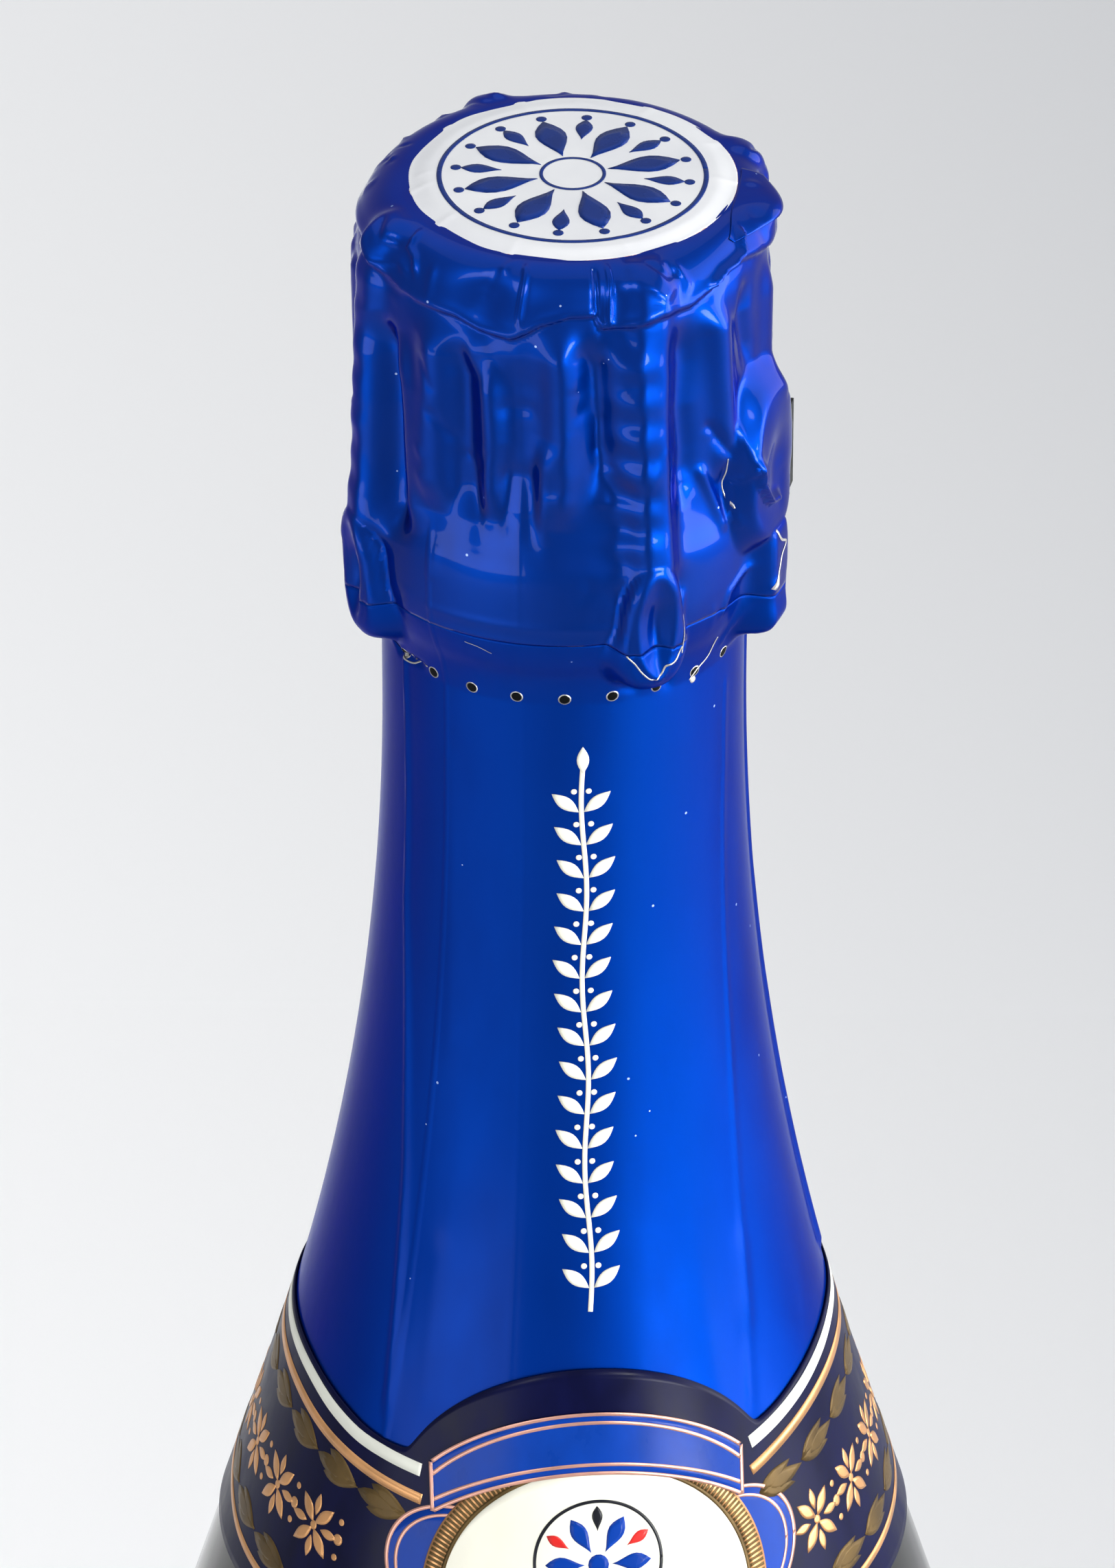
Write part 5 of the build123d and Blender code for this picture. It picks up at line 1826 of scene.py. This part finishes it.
# %% Front label
front_high, front_half = 116.0, math.radians(72) * label_outside
front_slot = "front_label_paper"
for name, inset, width in (("front_line", 1.6, 0.7), ("front_fine_line", 2.8, 0.25)):
    frame_lines(name, front_half, label_low, front_high, inset, width, on_label, front_slot)
foot_inset, foot_low, foot_high = 3.6, 38, 52
navy_band("front_foot", front_half - foot_inset, foot_low, foot_high, on_label, front_slot)
wreath_centre, wreath_radius = (0.0, 84.0), 15.0
wreath_start, wreath_end, wreath_step = -62, 243, 12
wreath_leaf_out, wreath_leaf_twist, wreath_leaf_size = 1.3, 34, 5.4
wreath_ring_radius, wreath_ring_width = 10.5, 0.4
star_reach, star_size = 3.6, 6.4
on_front_label = {"slot_name": front_slot}
wreath = []
for turn in np.arange(wreath_start, wreath_end, wreath_step):
    for side in (1, -1):
        climb = side * wreath_leaf_twist * (1 if turn < 90 else -1)
        reach = wreath_radius + side * wreath_leaf_out
        [(x, z, _, size)] = pads_round(reach, (turn,), wreath_leaf_size, wreath_centre)
        wreath.append((x, z, turn + 90 + climb, size))
scatter("front_wreath", wreath, leaf_pad, bronze_ink, on_label, **on_front_label)
wreath_ring = {"centre": wreath_centre, **on_front_label}
ring("front_wreath_ring", wreath_ring_radius, wreath_ring_width, on_label, navy_ink, **wreath_ring)
star = pads_round(star_reach, np.arange(0, 360, 45), star_size, wreath_centre)
scatter("front_rosette", star, leaf_pad, ribbon_ink, on_label, **on_front_label)
foot_leaves = leaf_row(42, 7, 45.0, 6.0)
on_foot = {"lift": label_print_lift, "slot_name": front_slot}
scatter("front_foot_leaves", foot_leaves, leaf_pad, bronze_ink, on_label, **on_foot)
print("wreath of", len(wreath), "leaves and a foot of", len(foot_leaves))

# %% [markdown]
# The smaller label behind has one frame of lines and a navy head with its own row of leaves. After it
# no more pads are needed, so the loose ones are taken away and only their printed copies stay.

# %% Back label
back_high, back_half = 89.8, math.radians(55) * label_outside
back_slot = "back_label_paper"
frame_lines("back_line", back_half, label_low, back_high, 1.6, 0.6, on_back_label, back_slot)
head_inset, head_low, head_high = 3, 78, 86
navy_band("back_head", back_half - head_inset, head_low, head_high, on_back_label, back_slot)
back_leaves = leaf_row(30, 6, 82.0, 5.0)
on_head = {"lift": label_print_lift, "slot_name": back_slot}
scatter("back_head_leaves", back_leaves, leaf_pad, bronze_ink, on_back_label, **on_head)
for shape in pad_shapes:
    bpy.data.objects.remove(shape)
print("head of", len(back_leaves), "leaves, and", len(pad_shapes), "loose pads taken away")

# %% [markdown]
# The photograph looks down at about thirty degrees with a long lens. The camera follows from where it
# looks, from how far, how high and from which side. Its small shift puts the bottle's axis a little
# right of the middle, as it is framed.

# %% Camera
look_height = 258.9
camera_distance = 900.0
camera_azimuth, camera_rise = -5.5, 31.6
lens = 242.7
sensor = 36.0
frame_height = 2283
axis_offset = 8
nearest_seen = 0.05


def way_out(azimuth, rise):
    """Unit vector away from the bottle, by an azimuth and a rise in degrees."""
    a, e = math.radians(azimuth), math.radians(rise)
    return np.array([math.sin(a) * math.cos(e), -math.cos(a) * math.cos(e), math.sin(e)])


aim = np.array([0, 0, look_height])
away = way_out(camera_azimuth, camera_rise)
camera_data = bpy.data.cameras.new("camera")
camera_data.lens = lens
camera_data.sensor_fit = "VERTICAL"
camera_data.sensor_height = sensor
camera_data.shift_x = -axis_offset / frame_height
camera_data.clip_start = nearest_seen
camera = bpy.data.objects.new("camera", camera_data)
camera.location = Vector((aim + camera_distance * away) * MM)
camera.rotation_euler = Vector(-away).to_track_quat("-Z", "Y").to_euler()
bpy.context.scene.collection.objects.link(camera)
bpy.context.scene.camera = camera
bpy.context.scene.view_settings.view_transform = "Standard"
print("camera stands", round(camera_distance / 1000, 2), "m away, with a lens of", lens, "mm")

# %% [markdown]
# The studio is a pale floor in a pale room. The room and the far floor light little, but they look pale
# to the camera and in the metal and the glass. Light Path tells the two apart: one for a ray that looks
# at a surface, and zero for a ray that only lights it.

# %% Rays that look
room_colour = srgb(188, 191, 197)


def seen_rays(tree):
    """One where the camera, metal or glass looks, and zero where a surface is lit."""
    ray = node(tree, "ShaderNodeLightPath")
    seen = ray.outputs["Is Camera Ray"]
    for kind in ("Is Glossy Ray", "Is Transmission Ray"):
        either = node(tree, "ShaderNodeMath", operation="MAXIMUM")
        tree.links.new(seen, either.inputs[0])
        tree.links.new(ray.outputs[kind], either.inputs[1])
        seen = either.outputs["Value"]
    return seen


def show_instead(tree, share, lit, seen, output):
    """Ends a tree with the lit shader where a share is 0 and the seen one where it is 1."""
    mix = node(tree, "ShaderNodeMixShader")
    tree.links.new(share, mix.inputs["Fac"])
    tree.links.new(lit, mix.inputs[1])
    tree.links.new(seen, mix.inputs[2])
    tree.links.new(mix.outputs["Shader"], tree.nodes[output].inputs["Surface"])


print("room colour", [round(c, 2) for c in room_colour])

# %% [markdown]
# The floor is matt paper with a painted shade that makes it a little darker to the right, and it takes the
# bottle's shadow. From less than a metre out it blends into the colour of the room, so that it has no far
# edge from any side.

# %% Floor
floor_half = 6000.0
floor_z = -0.05
shade_left, shade_right = -0.12, 0.16
blend_start, blend_end = 0.75, 1.45
floor_material, floor_tree, floor_shader = new_material("studio_paper", 0.9)
link = floor_tree.links.new
floor_place = node(floor_tree, "ShaderNodeTexCoord")
floor_axes = node(floor_tree, "ShaderNodeSeparateXYZ")
link(floor_place.outputs["Object"], floor_axes.inputs["Vector"])
across = span(floor_tree, floor_axes.outputs["X"], 0, 1, shade_left, shade_right)
# Painted shade: the floor's colour darkens from white to light grey towards the right.
floor_painted_shade = ramp(floor_tree, across, ((0.0, srgb(255, 255, 255)), (1.0, srgb(210, 211, 213))))
link(floor_painted_shade, floor_shader.inputs["Base Color"])
floor_out = node(floor_tree, "ShaderNodeVectorMath", operation="LENGTH")
link(floor_place.outputs["Object"], floor_out.inputs[0])
far_share = span(floor_tree, floor_out.outputs["Value"], 0, 1, blend_start, blend_end)
far_seen = node(floor_tree, "ShaderNodeMath", operation="MULTIPLY")
far_floor = node(floor_tree, "ShaderNodeEmission", {"Color": (*room_colour, 1), "Strength": 1.0})
link(far_share, far_seen.inputs[0])
link(seen_rays(floor_tree), far_seen.inputs[1])
show_instead(
    floor_tree,
    share=far_seen.outputs["Value"],
    lit=floor_shader.outputs["BSDF"],
    seen=far_floor.outputs["Emission"],
    output="Material Output",
)
floor_corners = [(x * floor_half, y * floor_half, floor_z) for x, y in ((-1, -1), (1, -1), (1, 1), (-1, 1))]
floor = new_piece("studio_floor", floor_corners, [(0, 1, 2, 3)])
floor.data.materials.append(floor_material)
print("floor", 2 * floor_half * MM, "m wide")

# %% [markdown]
# The room is the world. It gives a weak cool light, and its pale colour to rays that look.

# %% Room
room_light = 0.2
world = bpy.data.worlds.new("studio_room")
world.use_nodes = True
room_tree = world.node_tree
room = room_tree.nodes["Background"]
room.inputs["Color"].default_value = (*srgb(226, 230, 238), 1)
room.inputs["Strength"].default_value = room_light
seen_room = node(room_tree, "ShaderNodeBackground", {"Color": (*room_colour, 1), "Strength": 1.0})
show_instead(
    room_tree,
    share=seen_rays(room_tree),
    lit=room.outputs["Background"],
    seen=seen_room.outputs["Background"],
    output="World Output",
)
bpy.context.scene.world = world
print("room lights with a strength of", room_light)

# %% [markdown]
# A broad ceiling light, a bright wall and a card on the right and small gridded soft boxes in front are
# what the lacquer mirrors. The lamps hide from the camera, so that the view is clear from any side, and
# the lamp over the background is turned to point straight down.

# %% Soft boxes
no_grid = 180
soft_boxes = (
    # name, azimuth, rise, distance, width, height, power, spread
    ("wall_right", 100, 12, 1.5, 1.5, 1.3, 19.0, no_grid),
    ("card_right", 76, -3, 0.6, 0.35, 0.3, 2.4, no_grid),
    ("box_right", 40, -2, 1.1, 0.4, 0.24, 0.8, 50),
    ("box_high", 38, 38, 1.3, 0.3, 0.34, 0.3, 34),
    ("box_left", -46, 42, 1.3, 0.3, 0.44, 0.3, 50),
    ("low_left", -49, -12, 0.7, 0.6, 0.12, 1.1, no_grid),
    ("ceiling", 180, 71, 1.7, 2.3, 2.0, 11.0, no_grid),
    ("background_lamp", 180, 48, 1.35, 0.9, 0.6, 0.8, 70),
)


def soft_box(name, azimuth, rise, distance, width, height, power, spread):
    """Area light that faces the bottle's neck. Its azimuth, rise and spread are in degrees."""
    data = bpy.data.lights.new(name, "AREA")
    data.shape = "RECTANGLE"
    data.size, data.size_y = width, height
    data.energy = power
    data.spread = math.radians(spread)
    direction = Vector(way_out(azimuth, rise))
    light = bpy.data.objects.new(name, data)
    light.location = Vector((0, 0, look_height * MM)) + direction * distance
    light.rotation_euler = direction.to_track_quat("Z", "Y").to_euler()
    light.visible_camera = False
    bpy.context.scene.collection.objects.link(light)
    return light


lamps = {row[0]: soft_box(*row) for row in soft_boxes}
lamps["background_lamp"].rotation_euler = (0, 0, 0)
print(len(lamps), "lights")
